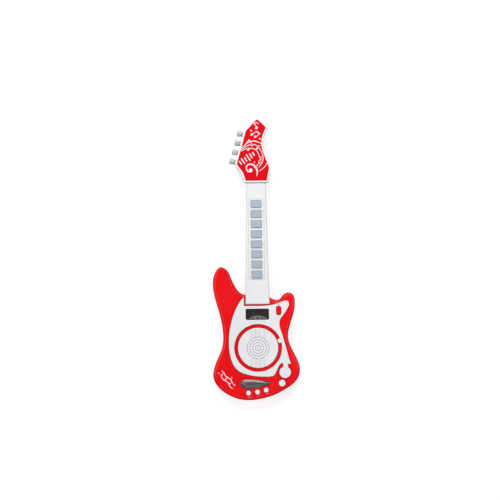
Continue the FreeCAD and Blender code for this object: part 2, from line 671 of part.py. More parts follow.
def light_tray():
    """The white box behind the window, with an arch and a row of teeth for the lamps."""
    x, y = WINDOW
    roof = BODY_FACE - WALL - 0.1
    inner_size = (TRAY_SIZE[0] - 2 * TRAY_WALL, TRAY_SIZE[1] - 2 * TRAY_WALL)
    outer = rounded_box(WINDOW, TRAY_SIZE, 2.0, TRAY_BACK, roof)
    hollow = rounded_box(WINDOW, inner_size, 1.2, TRAY_BACK + TRAY_WALL, roof + 1)
    tray = outer.cut(hollow)
    ear_top = TRAY_BACK + EAR_THICK
    ears = [rounded_box(place, (7.0, 6.0), 1.5, TRAY_BACK, ear_top) for place in TRAY_EARS]
    tongues = [box(x - 26, x - 21, y - 2.4, y + 2.4, TRAY_BACK, ear_top),
               box(x + 21, x + 26, y - 2.4, y + 2.4, TRAY_BACK, ear_top)]
    arch = post(x, y - 17.0, 15.0, TRAY_BACK + 1, TRAY_BACK + 6).common(
        box(x - 20, x + 20, y - 8.7, y + 8, TRAY_BACK, TRAY_BACK + 6))
    teeth = [box(x - 13.6 + 4.2 * index, x - 11.2 + 4.2 * index, y - 8.7, y - 6.6,
                 TRAY_BACK + 1, TRAY_BACK + 8) for index in range(7)]
    hood = rounded_box((x, y + 4.6), (9.0, 3.2), 0.6, TRAY_BACK + 1, TRAY_BACK + 5)
    tray = fuse_all([tray, arch, hood] + ears + tongues + teeth)
    holes = [post(px, py, PASS_R, TRAY_BACK - 1, TRAY_BACK + 3) for px, py in TRAY_EARS]
    holes += [post(x + dx, y + LAMP_DY, LAMP_HOLE_R, TRAY_BACK - 1, TRAY_BACK + 3)
              for dx in LAMP_DX]
    return cut_all(tray, holes)


def light_board():
    x, y = WINDOW
    board = rounded_box(WINDOW, (38.0, 15.0), 1.0, TRAY_BACK - 1.7, TRAY_BACK - 0.1)
    return board.cut(post(x, y - 5, 1.1, 10, 30))


def lamps():
    """Lamps on the light board and on the main board under the lens."""
    lamp = [(1.5, 0.0), (1.5, 2.4), (1.2, 3.2), (0.6, 3.7), (0.0, 3.8), (0.0, 0.0)]
    shapes = []
    for dx in LAMP_DX:
        one = turned(lamp, (WINDOW[0] + dx, WINDOW[1] + LAMP_DY))
        one.translate(vec(0, 0, TRAY_BACK - 0.1))
        shapes.append(one)
    for place in LENS_LAMPS:
        one = turned(lamp, place)
        one.translate(vec(0, 0, MAIN_BOARD_Z[1]))
        shapes.append(one)
    return Part.makeCompound(shapes)


def strum_lens():
    seat = BODY_FACE - FIELD_DEPTH + PLATE_LIFT
    plate = rounded_slab(LENS_OUTLINE, seat, seat + LENS_RISE, LENS_ROUND, 0)
    plug = prism(loop(inset_points(LENS_OUTLINE, 1.7, 24)), BODY_FACE - WALL + 0.1, seat + 0.4)
    return plate.fuse(plug)


# ---------------------------------------------------------------- speaker
def speaker_basket():
    profile = [(24.2, 33.5), (28.5, 33.5), (28.5, 31.7), (26.4, 31.7), (15.6, 24.4), (15.6, 23.0),
               (0.0, 23.0), (0.0, 24.2), (14.6, 24.2), (24.2, 31.2)]
    basket = turned(profile, SPEAKER)
    windows = [rod(vec(*SPEAKER, 27.6), vec(*round_speaker(angle, 30), 27.6), 2.2)
               for angle in range(0, 360, 60)]
    basket = cut_all(basket, windows)
    ears = []
    for x, y in speaker_screw_places():
        outward = vec(x - SPEAKER[0], y - SPEAKER[1]).normalize()
        bridge = box(21.5, SPEAKER_SCREW_R, -2.6, 2.6, *SPEAKER_EAR_Z)
        bridge.rotate(vec(0, 0), vec(0, 0, 1), math.degrees(math.atan2(outward.y, outward.x)))
        bridge.translate(vec(*SPEAKER))
        ears += [bridge, post(x, y, 3.2, *SPEAKER_EAR_Z)]
    ear_holes = [post(x, y, PASS_R, 20, 32) for x, y in speaker_screw_places()]
    return cut_all(fuse_all([basket] + ears), ear_holes)


def speaker_magnet():
    plate = rounded_at(post(*SPEAKER, 14.0, 21.4, 22.9), 21.4, 0.4)
    ferrite = rounded_at(post(*SPEAKER, 15.5, 14.6, 21.4), 14.6, 1.0)
    cup = rounded_at(post(*SPEAKER, 13.0, 13.4, 14.6), 13.4, 0.5)
    return fuse_all([plate, ferrite, cup])


def speaker_cone():
    profile = [(24.0, 33.2), (24.0, 32.6), (22.6, 33.3), (21.2, 32.4), (9.0, 26.8), (9.0, 28.4),
               (5.0, 30.0), (0.0, 30.6), (0.0, 31.2), (5.4, 30.6), (9.6, 28.6), (9.8, 27.8),
               (21.0, 33.0), (22.6, 33.9), (23.6, 33.2)]
    cone = turned(profile, SPEAKER)
    cone.translate(vec(0, 0, -0.5))
    return cone


# ---------------------------------------------------------------- controls
def rocker_board_screws():
    return [(ROCKER[0] - 0.3, ROCKER[1] - 11.4), (ROCKER[0] - 0.3, ROCKER[1] + 10.9)]


def rocker_shape(side_gap, end_gap, z0, z1):
    half_x = ROCKER_SIZE[0] / 2 + side_gap
    half_y = ROCKER_SIZE[1] / 2 + end_gap
    x, y = ROCKER
    radius = half_x - 0.01
    corners = [(x - half_x, y - half_y, radius), (x - half_x, y + half_y, radius),
               (x + half_x, y + half_y, radius), (x + half_x, y - half_y, radius)]
    return prism(rounded_polygon(corners), z0, z1)


def rocker_switch():
    x, y = ROCKER
    cap = rounded_at(rocker_shape(0, 0, 30.9, ROCKER_TOP), ROCKER_TOP, 1.6)
    dish = Part.makeCylinder(24.0, 12.0, vec(x - 6, y, ROCKER_TOP + 23.2), vec(1, 0, 0))
    pin = rod(vec(x - 7.1, y, ROCKER_PIVOT_Z), vec(x + 7.1, y, ROCKER_PIVOT_Z), ROCKER_PIN_R)
    return fuse_all([cap.cut(dish), pin])


def rocker_board():
    x = ROCKER[0] - 0.3
    board = rounded_box((x, ROCKER[1] - 0.25), (12.0, 27.0), 1.0, *ROCKER_BOARD_Z)
    return cut_all(board, [post(px, py, PASS_R, 20, 30) for px, py in rocker_board_screws()])


def rocker_contacts():
    """Two tact switches, one under each end of the rocker."""
    switches = []
    for side in (-1, 1):
        y = ROCKER[1] + side * SWITCH_REACH
        base = box(ROCKER[0] - 3, ROCKER[0] + 3, y - 3, y + 3, ROCKER_BOARD_Z[1], SWITCH_Z[0])
        switches.append(base.fuse(post(ROCKER[0], y, 1.6, *SWITCH_Z)))
    return Part.makeCompound(switches)


def round_button(place, radius):
    """A push button with a domed cap, a rim that stays inside and a stem over its dome."""
    x, y = place
    roof = BODY_FACE - WALL
    cap = rounded_at(post(x, y, radius, roof - 1.3, BUTTON_TOP), BUTTON_TOP, 1.3)
    rim = post(x, y, radius + BUTTON_RIM, roof - 1.3, roof - 0.3)
    stem = post(x, y, 2.0, MAIN_BOARD_Z[1] + DOME_HEIGHT + 0.1, roof - 1.2)
    return fuse_all([cap, rim, stem])


def button_mat():
    """The silicone sheet over the main board, with a dome under each button."""
    z = MAIN_BOARD_Z[1]
    dome = [(3.4, 0.0), (3.1, 1.6), (2.2, 1.9), (2.0, DOME_HEIGHT), (0.0, DOME_HEIGHT), (0.0, 0.0)]
    pieces = [rounded_box((-2.4, 16.6), (46.0, 9.4), 1.5, z, z + MAT_THICK),
              rounded_box((PLAY_BUTTON[0], PLAY_BUTTON[1] - 0.6), (13.0, 12.0), 1.5, z, z + MAT_THICK)]
    bridge = box(19, 41, 23.0, 30.0, z, z + MAT_THICK)
    link = box(14, 21, 16, 27, z, z + MAT_THICK)
    pieces += [bridge, link]
    for place in SMALL_BUTTONS + [PLAY_BUTTON]:
        one = turned(dome, place)
        one.translate(vec(0, 0, z))
        pieces.append(one)
    mat = fuse_all(pieces)
    return cut_all(mat, [post(x, y, 3.0, 20, 40) for x, y in MAIN_BOARD_SCREWS])


def main_board():
    corners = [(x, y, 1.0) for x, y in MAIN_BOARD]
    board = prism(rounded_polygon(corners), *MAIN_BOARD_Z)
    return cut_all(board, [post(x, y, PASS_R, 20, 30) for x, y in MAIN_BOARD_SCREWS])


def board_chips():
    """Chips and capacitors on the back of the main board."""
    z = MAIN_BOARD_Z[0]
    chips = [box(x0, x1, y0, y1, z - height, z) for x0, x1, y0, y1, height in CHIPS]
    chips += [rounded_at(post(x, y, radius, z - height, z), z - height, 0.4)
              for x, y, radius, height in CAPACITORS]
    return Part.makeCompound(chips)


# ---------------------------------------------------------------- neck
def neck_front_shell():
    outer = prism(neck_outline(0, NECK_START, NECK_END), NECK_SPLIT, NECK_FACE)
    outer = rounded_at(outer, NECK_FACE, 2.4)
    outer = rounded_at(outer, NECK_SPLIT, SEAM_ROUND)
    inside = prism(neck_outline(-NECK_WALL, NECK_START + NECK_WALL, NECK_END - NECK_WALL),
                   NECK_SPLIT - 1, NECK_FACE - NECK_WALL)
    middle = (KEY_X, KEY_FIRST_Y - KEY_PITCH * (KEY_COUNT - 1) / 2)
    field = rounded_box(middle, FIELD_SIZE, 3.0, NECK_FACE - 0.5, FIELD_TOP)
    field = rounded_at(field, FIELD_TOP, 0.6)
    roof = NECK_FACE - NECK_WALL + 0.1
    posts, holes = pilot_posts(NECK_SCREWS, NECK_BOSS_R, 27.4, roof)
    board_posts, board_holes = pilot_posts(KEY_BOARD_SCREWS, KEY_BOARD_BOSS_R,
                                           KEY_BOARD_Z[1] + BOARD_GAP, roof)
    shell = fuse_all([outer.cut(inside), field] + posts + board_posts)
    openings = [rounded_box(key_place(index), (KEY_SIZE[0] + 2 * KEY_GAP, KEY_SIZE[1] + 2 * KEY_GAP),
                            1.0, NECK_SPLIT, FIELD_TOP + 1) for index in range(KEY_COUNT)]
    return cut_all(shell, holes + board_holes + openings)


def neck_back_shell():
    outer = prism(neck_outline(0, NECK_START, NECK_END), NECK_BACK, NECK_SPLIT)
    outer = rounded_at(outer, NECK_BACK, 5.0)
    outer = rounded_at(outer, NECK_SPLIT, SEAM_ROUND)
    inside = prism(neck_outline(-NECK_WALL, NECK_START + NECK_WALL, NECK_END - NECK_WALL),
                   NECK_BACK + WALL, NECK_SPLIT + 1)
    inside = rounded_at(inside, NECK_BACK + WALL, 3.0)
    tongue = box(-TENON_HALF, TENON_HALF, NECK_END - 4, TENON_TOP, TENON_Z, TENON_Z + 3.0)
    cheeks = [post(x, y, 3.0, TENON_Z + 1, 32.0) for x, y in TENON_SCREWS]
    posts, holes = well_posts(NECK_SCREWS, NECK_BACK, NECK_SEAT, 27.2)
    bosses = [post(x, y, 3.4, NECK_BACK + 1, 28.4) for x, y in NECK_JOINT_SCREWS]
    shell = fuse_all([outer.cut(inside), tongue] + cheeks + posts + bosses)
    holes += [post(x, y, PILOT_R, NECK_BACK - 1, 27.0) for x, y in NECK_JOINT_SCREWS]
    holes += [post(x, y, PILOT_R, TENON_Z - 1, 31.0) for x, y in TENON_SCREWS]
    holes.append(cable_hole())
    return cut_all(shell, holes)


def key_place(index):
    return (KEY_X, KEY_FIRST_Y - KEY_PITCH * index)


def key(index):
    """A note key: a bevelled cap, a flange that stays under the neck's face and a stem."""
    place = key_place(index)
    cap = rounded_box(place, KEY_SIZE, 1.2, KEY_FOOT_Z, KEY_TOP)
    cap = cap.makeChamfer(0.8, edges_at(cap, KEY_TOP))
    wide = (KEY_SIZE[0] + 2 * KEY_FLANGE, KEY_SIZE[1] + 2 * KEY_FLANGE)
    flange = rounded_box(place, wide, 1.2, KEY_FOOT_Z, KEY_FOOT_Z + 1.0)
    stem = rounded_box(place, (8.0, 6.0), 1.0, KEY_FOOT_Z - 0.8, KEY_FOOT_Z + 0.2)
    return fuse_all([cap, flange, stem])


def key_mat():
    z = KEY_BOARD_Z[1]
    middle = (KEY_X, KEY_FIRST_Y - KEY_PITCH * (KEY_COUNT - 1) / 2)
    pieces = [rounded_box(middle, (16.0, 158.0), 2.0, z, z + MAT_THICK)]
    dome = [(4.4, 0.0), (4.2, 1.4), (3.0, 1.8), (2.8, KEY_DOME_HEIGHT), (0.0, KEY_DOME_HEIGHT),
            (0.0, 0.0)]
    for index in range(KEY_COUNT):
        one = turned(dome, key_place(index))
        one.translate(vec(0, 0, z))
        pieces.append(one)
    return fuse_all(pieces)


def key_board():
    middle = (KEY_X, (KEY_BOARD_Y[0] + KEY_BOARD_Y[1]) / 2)
    board = rounded_box(middle, (2 * KEY_BOARD_HALF, KEY_BOARD_Y[1] - KEY_BOARD_Y[0]), 1.0,
                        *KEY_BOARD_Z)
    return cut_all(board, [post(x, y, PASS_R, 20, 40) for x, y in KEY_BOARD_SCREWS])


# ---------------------------------------------------------------- headstock
def grown(wire, distance):
    return Part.Face(wire).makeOffset2D(distance).OuterWire


def peg_line():
    """The start and direction of the headstock's peg side, and its outward normal."""
    low = vec(*HEAD_PLATE[7][:2])
    high = vec(*HEAD_PLATE[8][:2])
    along = (high - low).normalize()
    outward = vec(-along.y, along.x)
    return low, along, outward


def peg_place(index):
    """The point where a peg's axis meets the headstock's outer side."""
    low, along, outward = peg_line()
    at = low + along * (PEG_FIRST + PEG_PITCH * index) + outward * HEAD_BORDER
    return vec(at.x, at.y, HEAD_SPLIT)


def head_prism(growth, z0, z1):
    wire = rounded_polygon(HEAD_PLATE)
    if growth:
        wire = grown(wire, growth)
    return prism(wire, z0, z1)


def peg_holes():
    outward = peg_line()[2]
    return [rod(peg_place(index) - outward * 4, peg_place(index) + outward * 4, PEG_HOLE_R)
            for index in range(PEG_COUNT)]


def tenon_slot():
    return box(-TENON_HALF - 0.3, TENON_HALF + 0.3, NECK_END - 2, NECK_END + 4.2,
               TENON_Z - 0.2, TENON_Z + 3.2)


def headstock_front_shell():
    outer = rounded_at(head_prism(HEAD_BORDER, HEAD_SPLIT, HEAD_FACE), HEAD_FACE, 2.4)
    outer = rounded_at(outer, HEAD_SPLIT, SEAM_ROUND)
    roof = HEAD_FACE - PLATE_RECESS - 2.0
    inside = head_prism(HEAD_BORDER - HEAD_WALL, HEAD_SPLIT - 1, roof)
    recess = head_prism(0, HEAD_FACE - PLATE_RECESS, HEAD_FACE + 1)
    posts, holes = pilot_posts(HEAD_SCREWS, NECK_BOSS_R, 26.2, roof + 0.1)
    shell = fuse_all([outer.cut(inside)] + posts)
    return cut_all(shell, holes + peg_holes() + [recess, tenon_slot()])


def headstock_back_shell():
    outer = rounded_at(head_prism(HEAD_BORDER, HEAD_BACK, HEAD_SPLIT), HEAD_BACK, 3.0)
    outer = rounded_at(outer, HEAD_SPLIT, SEAM_ROUND)
    inside = head_prism(HEAD_BORDER - HEAD_WALL, HEAD_BACK + HEAD_WALL, HEAD_SPLIT + 1)
    posts, holes = well_posts(HEAD_SCREWS, HEAD_BACK, HEAD_SEAT, 26.0)
    tenon_posts, tenon_holes = well_posts(TENON_SCREWS, HEAD_BACK, TENON_SEAT, TENON_Z - 0.1)
    shell = fuse_all([outer.cut(inside)] + posts + tenon_posts)
    return cut_all(shell, holes + tenon_holes + peg_holes() + [tenon_slot()])


def headstock_plate():
    wire = grown(rounded_polygon(HEAD_PLATE), -0.12)
    plate = prism(wire, HEAD_FACE - PLATE_RECESS + PLATE_LIFT, HEAD_FACE + PLATE_PROUD)
    return rounded_at(plate, HEAD_FACE + PLATE_PROUD, 0.35)


def peg(index):
    """A tuning peg: a knob with two curved faces on a shaft, held by a collar inside the casing."""
    profile = [(0.0, -7.0), (PEG_SHAFT_R, -7.0), (PEG_SHAFT_R, -3.9), (3.2, -3.9), (3.2, -2.4),
               (PEG_SHAFT_R, -2.4), (PEG_SHAFT_R, PEG_KNOB[0][1])]
    profile += PEG_KNOB + [(0.0, PEG_KNOB[-1][1])]
    solid = turned(profile)
    offset = PEG_FACE_R - PEG_THICK / 2
    for side in (-1, 1):
        solid = solid.common(post(0, side * offset, PEG_FACE_R, -8, 14))
    outward = peg_line()[2]
    turn = math.degrees(math.atan2(outward.y, outward.x))
    solid.rotate(vec(0, 0), vec(0, 1, 0), 90)
    solid.rotate(vec(0, 0), vec(1, 0, 0), 90)
    solid.rotate(vec(0, 0), vec(0, 0, 1), turn)
    solid.translate(peg_place(index))
    return solid


# ---------------------------------------------------------------- power
def battery_door():
    y, z = DOOR_HINGE
    plate = rounded_box((0, (DOOR_START + y) / 2), (2 * DOOR_HALF, y - DOOR_START), 2.0, *DOOR_Z)
    square = box(-DOOR_HALF, DOOR_HALF, y - 8, y, *DOOR_Z)
    nose = rod(vec(-DOOR_HALF, y, z), vec(DOOR_HALF, y, z), DOOR_NOSE_R)
    pins = rod(vec(-DOOR_HALF - 1.8, y, z), vec(DOOR_HALF + 1.8, y, z), DOOR_PIN_R)
    boss = post(*DOOR_SCREW, 4.1, DOOR_Z[0], 4.0)
    door = fuse_all([plate, square, nose, pins, boss])
    holes = [post(*DOOR_SCREW, 3.0, -1, 2.9), post(*DOOR_SCREW, SCREW_R + 0.2, 2, 5)]
    grip = [box(-9, 9, 44 + 3 * step, 45.4 + 3 * step, -1, DOOR_Z[0] + 0.6) for step in range(4)]
    return cut_all(door, holes + grip)


def battery_door_screw():
    return screw(*DOOR_SCREW, *DOOR_SCREW_Z)


def cell_places():
    pitch = (BAY_Y[1] - BAY_Y[0]) / 3
    return [BAY_Y[0] + pitch * (index + 0.5) for index in range(3)]


def batteries():
    cells = []
    for index, y in enumerate(cell_places()):
        side = 1 if index % 2 else -1
        start = vec(-side * CELL_LENGTH / 2, y, CELL_Z)
        shoulder = vec(side * (CELL_LENGTH / 2 - CELL_NUB), y, CELL_Z)
        end = vec(side * CELL_LENGTH / 2, y, CELL_Z)
        can = rod(start, shoulder, CELL_R)
        can = can.makeFillet(0.6, [edge for edge in can.Edges if edge.isClosed()])
        cells.append(can.fuse(rod(shoulder - (end - shoulder), end, 2.6)))
    return Part.makeCompound(cells)


def battery_contacts():
    """A spring for each cell's flat end and a sprung plate for its nub end."""
    contacts = []
    for index, y in enumerate(cell_places()):
        side = 1 if index % 2 else -1
        wall = -side * (BAY_X - 0.1)
        inner = wall + side * 0.5
        plate = box(min(wall, inner), max(wall, inner), y - 5.5, y + 5.5, 5, 16)
        rings = []
        for turn in range(4):
            at = vec(inner + side * (0.4 + 0.7 * turn), y, CELL_Z)
            rings.append(Part.makeTorus(4.4 - 0.45 * turn, 0.45, at, vec(1, 0, 0)))
        contacts.append(fuse_all([plate] + rings))
        wall = side * (BAY_X - 0.1)
        inner = wall - side * 0.5
        plate = box(min(wall, inner), max(wall, inner), y - 5.5, y + 5.5, 5, 16)
        tip = side * (CELL_LENGTH / 2 + 0.1)
        bump = rod(vec(inner + side * 0.2, y, CELL_Z), vec(tip, y, CELL_Z), 2.4)
        contacts.append(fuse_all([plate, bump]))
    return Part.makeCompound(contacts)


# ---------------------------------------------------------------- wires
def cable_hole():
    """The hole for the neck cable through the pocket's wall and the neck's end."""
    return rod(vec(NECK_CABLE_X, NECK_START - 7, CABLE_HOLE_Z),
               vec(NECK_CABLE_X, NECK_START + 4, CABLE_HOLE_Z), CABLE_R + 0.9)


def neck_cable():
    route = [(NECK_CABLE_X, 238, 28.0), (NECK_CABLE_X, 216, 26.4), (NECK_CABLE_X, 198, 24.4),
             (NECK_CABLE_X, 181, CABLE_HOLE_Z), (-7.5, 173.5, 19.0), (-19, 158, 18.0),
             (-34, 138, 18.0), (-39, 116, 19.0), (-40, 92, 20.5), (-39.5, 70, 21.5),
             (-37, 50, 22.0), (-36, 37, 22.6), (-36, 34.5, 26.3)]
    return bent_tube(route, CABLE_R)


def speaker_wires():
    pair = []
    for shift in (0.0, WIRE_PITCH):
        route = [(17.0 + shift, 90.0, 24.0), (21.0 + shift, 84.0, 22.4), (24.0 + shift, 74.0, 21.6),
                 (25.0 + shift, 62.0, 21.6), (25.0 + shift, 50.0, 22.4), (25.0 + shift, 42.5, 24.2),
                 (25.0 + shift, 40.0, 26.3)]
        pair.append(bent_tube(route, WIRE_R))
    return Part.makeCompound(pair)


def battery_wires():
    pair = []
    for shift in (-WIRE_PITCH / 2, WIRE_PITCH / 2):
        route = [(-29.4, 40.0 + shift, 14.0), (-33.4, 39.6 + shift, 14.6), (-34.6, 36.0 + shift, 18.0),
                 (-34.4, 31.0 + shift, 22.0), (-34.4, 23.0 + shift, 26.2)]
        pair.append(bent_tube(route, WIRE_R))
    return Part.makeCompound(pair)


# ---------------------------------------------------------------- the set of pieces
def all_pieces():
    pieces = {
        "body_front_shell": body_front_shell(),
        "body_back_shell": body_back_shell(),
        "pickguard": pickguard(),
        "speaker_grille": speaker_grille(),
        "light_window": light_window(),
        "light_tray": light_tray(),
        "light_board": light_board(),
        "lamps": lamps(),
        "strum_lens": strum_lens(),
        "speaker_basket": speaker_basket(),
        "speaker_magnet": speaker_magnet(),
        "speaker_cone": speaker_cone(),
        "speaker_screws": board_screws(speaker_screw_places(), SPEAKER_EAR_Z[0], SPEAKER_TIP),
        "main_board": main_board(),
        "board_chips": board_chips(),
        "button_mat": button_mat(),
        "rocker_switch": rocker_switch(),
        "rocker_board": rocker_board(),
        "rocker_contacts": rocker_contacts(),
        "neck_front_shell": neck_front_shell(),
        "neck_back_shell": neck_back_shell(),
        "key_board": key_board(),
        "key_mat": key_mat(),
        "headstock_front_shell": headstock_front_shell(),
        "headstock_back_shell": headstock_back_shell(),
        "headstock_plate": headstock_plate(),
        "battery_door": battery_door(),
        "battery_door_screw": battery_door_screw(),
        "batteries": batteries(),
        "battery_contacts": battery_contacts(),
        "neck_cable": neck_cable(),
        "speaker_wires": speaker_wires(),
        "battery_wires": battery_wires(),
        "body_screws": screws(BODY_SCREWS, BODY_SEAT - SCREW_HEAD, BODY_TIP),
        "neck_joint_screws": screws(NECK_JOINT_SCREWS, JOINT_SEAT - SCREW_HEAD, JOINT_TIP),
        "neck_screws": screws(NECK_SCREWS, NECK_SEAT - SCREW_HEAD, NECK_TIP),
        "headstock_screws": screws(HEAD_SCREWS, HEAD_SEAT - SCREW_HEAD, HEAD_TIP),
        "tenon_screws": screws(TENON_SCREWS, TENON_SEAT - SCREW_HEAD, TENON_TIP),
        "key_board_screws": board_screws(KEY_BOARD_SCREWS, KEY_BOARD_Z[0], KEY_BOARD_TIP),
        "main_board_screws": board_screws(MAIN_BOARD_SCREWS, MAIN_BOARD_Z[0], MAIN_BOARD_TIP),
        "light_tray_screws": board_screws(TRAY_EARS, TRAY_BACK, TRAY_TIP),
        "rocker_board_screws": board_screws(rocker_board_screws(), ROCKER_BOARD_Z[0],
                                            ROCKER_BOARD_TIP),
        "play_button": round_button(PLAY_BUTTON, PLAY_BUTTON_R),
    }
    for index, place in enumerate(SMALL_BUTTONS):
        pieces["button_%d" % (index + 1)] = round_button(place, SMALL_BUTTON_R)
    for index in range(KEY_COUNT):
        pieces["key_%d" % (index + 1)] = key(index)
    for index in range(PEG_COUNT):
        pieces["peg_%d" % (index + 1)] = peg(index)
    return pieces


def main():
    os.makedirs(OUT, exist_ok=True)
    pieces = all_pieces()
    whole = Part.makeCompound(list(pieces.values())).optimalBoundingBox(False, False)
    home = vec(-whole.Center.x, -whole.Center.y, 0)
    for name, shape in pieces.items():
        shape.translate(home)
        shape.exportStep(os.path.join(OUT, name + ".step"))
        print(name, "solids", len(shape.Solids), "volume", round(shape.Volume, 1),
              "valid", shape.isValid())
    print("moved by", home.x, home.y, "size", whole.XLength, whole.YLength, whole.ZLength)


main()
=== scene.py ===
import bpy
import bmesh
import math
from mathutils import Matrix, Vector


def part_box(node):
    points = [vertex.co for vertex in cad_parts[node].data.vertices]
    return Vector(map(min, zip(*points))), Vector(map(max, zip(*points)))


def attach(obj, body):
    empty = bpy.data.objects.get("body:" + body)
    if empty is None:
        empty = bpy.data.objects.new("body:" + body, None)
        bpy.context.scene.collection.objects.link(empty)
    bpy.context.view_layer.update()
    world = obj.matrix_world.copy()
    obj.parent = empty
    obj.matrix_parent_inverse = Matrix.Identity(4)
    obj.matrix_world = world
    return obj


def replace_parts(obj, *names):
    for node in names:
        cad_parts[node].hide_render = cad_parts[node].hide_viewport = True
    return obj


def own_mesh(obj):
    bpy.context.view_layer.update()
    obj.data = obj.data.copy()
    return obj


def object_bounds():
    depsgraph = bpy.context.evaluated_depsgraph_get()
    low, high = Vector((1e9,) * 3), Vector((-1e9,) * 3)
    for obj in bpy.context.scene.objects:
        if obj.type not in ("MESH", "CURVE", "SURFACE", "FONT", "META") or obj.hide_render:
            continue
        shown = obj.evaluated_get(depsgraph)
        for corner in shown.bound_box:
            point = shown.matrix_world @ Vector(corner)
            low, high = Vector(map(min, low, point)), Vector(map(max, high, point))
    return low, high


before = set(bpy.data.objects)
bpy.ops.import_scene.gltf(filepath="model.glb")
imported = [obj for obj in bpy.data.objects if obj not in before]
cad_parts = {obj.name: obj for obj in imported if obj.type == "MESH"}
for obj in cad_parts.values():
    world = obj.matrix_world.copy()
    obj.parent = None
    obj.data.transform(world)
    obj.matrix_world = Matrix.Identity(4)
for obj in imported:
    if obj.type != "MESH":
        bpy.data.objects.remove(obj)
cad_low, cad_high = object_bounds()

# Places are given in millimetres as in the part's drawing: x from the neck's axis, y from the
# body's lower edge. The speaker grille's centre ties them to the frame.
MM = 0.001
GRILLE_Y = 102.5
grille_low, grille_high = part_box("speaker_grille")
HOME_X = (grille_low.x + grille_high.x) / 2
HOME_Y = (grille_low.y + grille_high.y) / 2 - GRILLE_Y * MM

# Levels that prints and the lens sit on.
BODY_FACE = 36 * MM
RECESS_FLOOR = BODY_FACE - 0.8 * MM
HEAD_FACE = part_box("headstock_plate")[1].z
WINDOW_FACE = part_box("light_window")[1].z
PLATE_TOP = WINDOW_FACE + 0.3 * MM


def at(x, y, z=0.0):
    """A place of the drawing, x and y in millimetres and z in metres, in the frame."""
    return Vector((HOME_X + x * MM, HOME_Y + y * MM, z))


def numbered(stem, count):
    """Names such as key_1, key_2 and so on."""
    return ["%s_%d" % (stem, number) for number in range(1, count + 1)]


def add_piece(name, mesh, material, slot):
    """Makes a piece of a finished bmesh, which rides on the guitar, and frees the bmesh."""
    data = bpy.data.meshes.new(name)
    mesh.to_mesh(data)
    mesh.free()
    data.materials.append(material)
    piece = bpy.data.objects.new(name, data)
    bpy.context.scene.collection.objects.link(piece)
    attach(piece, "guitar")
    return piece


# ---------------------------------------------------------------- shader helpers
class Shader:
    """A small builder for one node material."""

    def __init__(self, name, colour, roughness):
        self.material = bpy.data.materials.new(name)
        self.material.use_nodes = True
        self.tree = self.material.node_tree
        self.surface = self.tree.nodes["Principled BSDF"]
        self.set("Base Color", (*colour, 1))
        self.set("Roughness", roughness)
        self.place = self.node("ShaderNodeTexCoord").outputs["Object"]
        self.bumps = []

    def set(self, socket, value):
        """A constant on one of the surface's sockets."""
        self.surface.inputs[socket].default_value = value

    def drive(self, socket, output):
        """A node's output into one of the surface's sockets."""
        self.link(output, self.surface.inputs[socket])

    def node(self, kind, **values):
        """A new node with the given properties."""
        made = self.tree.nodes.new(kind)
        for key, value in values.items():
            setattr(made, key, value)
        return made

    def link(self, output, socket):
        self.tree.links.new(output, socket)

    def stretched(self, scale, turn=0.0):
        """The place, scaled differently along each axis, so that a grain gets a direction."""
        mapping = self.node("ShaderNodeMapping")
        mapping.inputs["Scale"].default_value = scale
        mapping.inputs["Rotation"].default_value = (0, 0, turn)
        self.link(self.place, mapping.inputs["Vector"])
        return mapping.outputs["Vector"]

    def noise(self, scale, detail=3.0, vector=None, roughness=0.55):
        """Cloudy noise from 0 to 1, with about scale lumps in a metre."""
        made = self.node("ShaderNodeTexNoise")
        made.inputs["Scale"].default_value = scale
        made.inputs["Detail"].default_value = detail
        made.inputs["Roughness"].default_value = roughness
        self.link(vector or self.place, made.inputs["Vector"])
        return made.outputs["Fac"]

    def spread(self, value, low, high, to_low, to_high):
        """The value's range from low to high, moved to another range and held inside it."""
        made = self.node("ShaderNodeMapRange")
        made.inputs["From Min"].default_value = low
        made.inputs["From Max"].default_value = high
        made.inputs["To Min"].default_value = to_low
        made.inputs["To Max"].default_value = to_high
        self.link(value, made.inputs["Value"])
        return made.outputs["Result"]

    def joined(self, operation, first, second):
        """Two values added or multiplied."""
        made = self.node("ShaderNodeMath", operation=operation)
        self.link(first, made.inputs[0])
        self.link(second, made.inputs[1])
        return made.outputs[0]

    def blend(self, share, first, second):
        """A colour between two, each a tuple or a socket."""
        made = self.node("ShaderNodeMix", data_type="RGBA")
        for socket, value in ((made.inputs[6], first), (made.inputs[7], second)):
            if isinstance(value, tuple):
                socket.default_value = (*value, 1)
            else:
                self.link(value, socket)
        self.link(share, made.inputs[0])
        return made.outputs[2]

    def edges(self):
        """1 on raised edges and 0 elsewhere."""
        made = self.node("ShaderNodeNewGeometry")
        return self.spread(made.outputs["Pointiness"], 0.505, 0.56, 0, 1)

    def crevices(self, reach, depth):
        """A mask for painted shade: 0 in the open and up to depth in narrow gaps and inner corners."""
        made = self.node("ShaderNodeAmbientOcclusion", samples=4)
        made.inputs["Distance"].default_value = reach
        return self.spread(made.outputs["AO"], 0.4, 1.0, depth, 0)

    def bump(self, height, distance, strength=1.0):
        """Relief on top of the relief that is already there."""
        made = self.node("ShaderNodeBump")
        made.inputs["Distance"].default_value = distance
        made.inputs["Strength"].default_value = strength
        self.link(height, made.inputs["Height"])
        if self.bumps:
            self.link(self.bumps[-1], made.inputs["Normal"])
        self.bumps.append(made.outputs["Normal"])

    def soft_edges(self, radius):
        """Makes sharp moulded edges catch the light as small rounds."""
        made = self.node("ShaderNodeBevel", samples=4)
        made.inputs["Radius"].default_value = radius
        self.bumps.append(made.outputs["Normal"])

    def done(self):
        """The material, with its relief in place."""
        if self.bumps:
            self.drive("Normal", self.bumps[-1])
        return self.material


def shade(colour, factor):
    """The colour made darker, or lighter where the factor is above 1."""
    return tuple(min(1.0, part * factor) for part in colour)


def paint(nodes, material):
    """Gives the CAD nodes a material in place of their plain one."""
    for name in nodes:
        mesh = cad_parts[name].data
        mesh.materials.clear()
        mesh.materials.append(material)


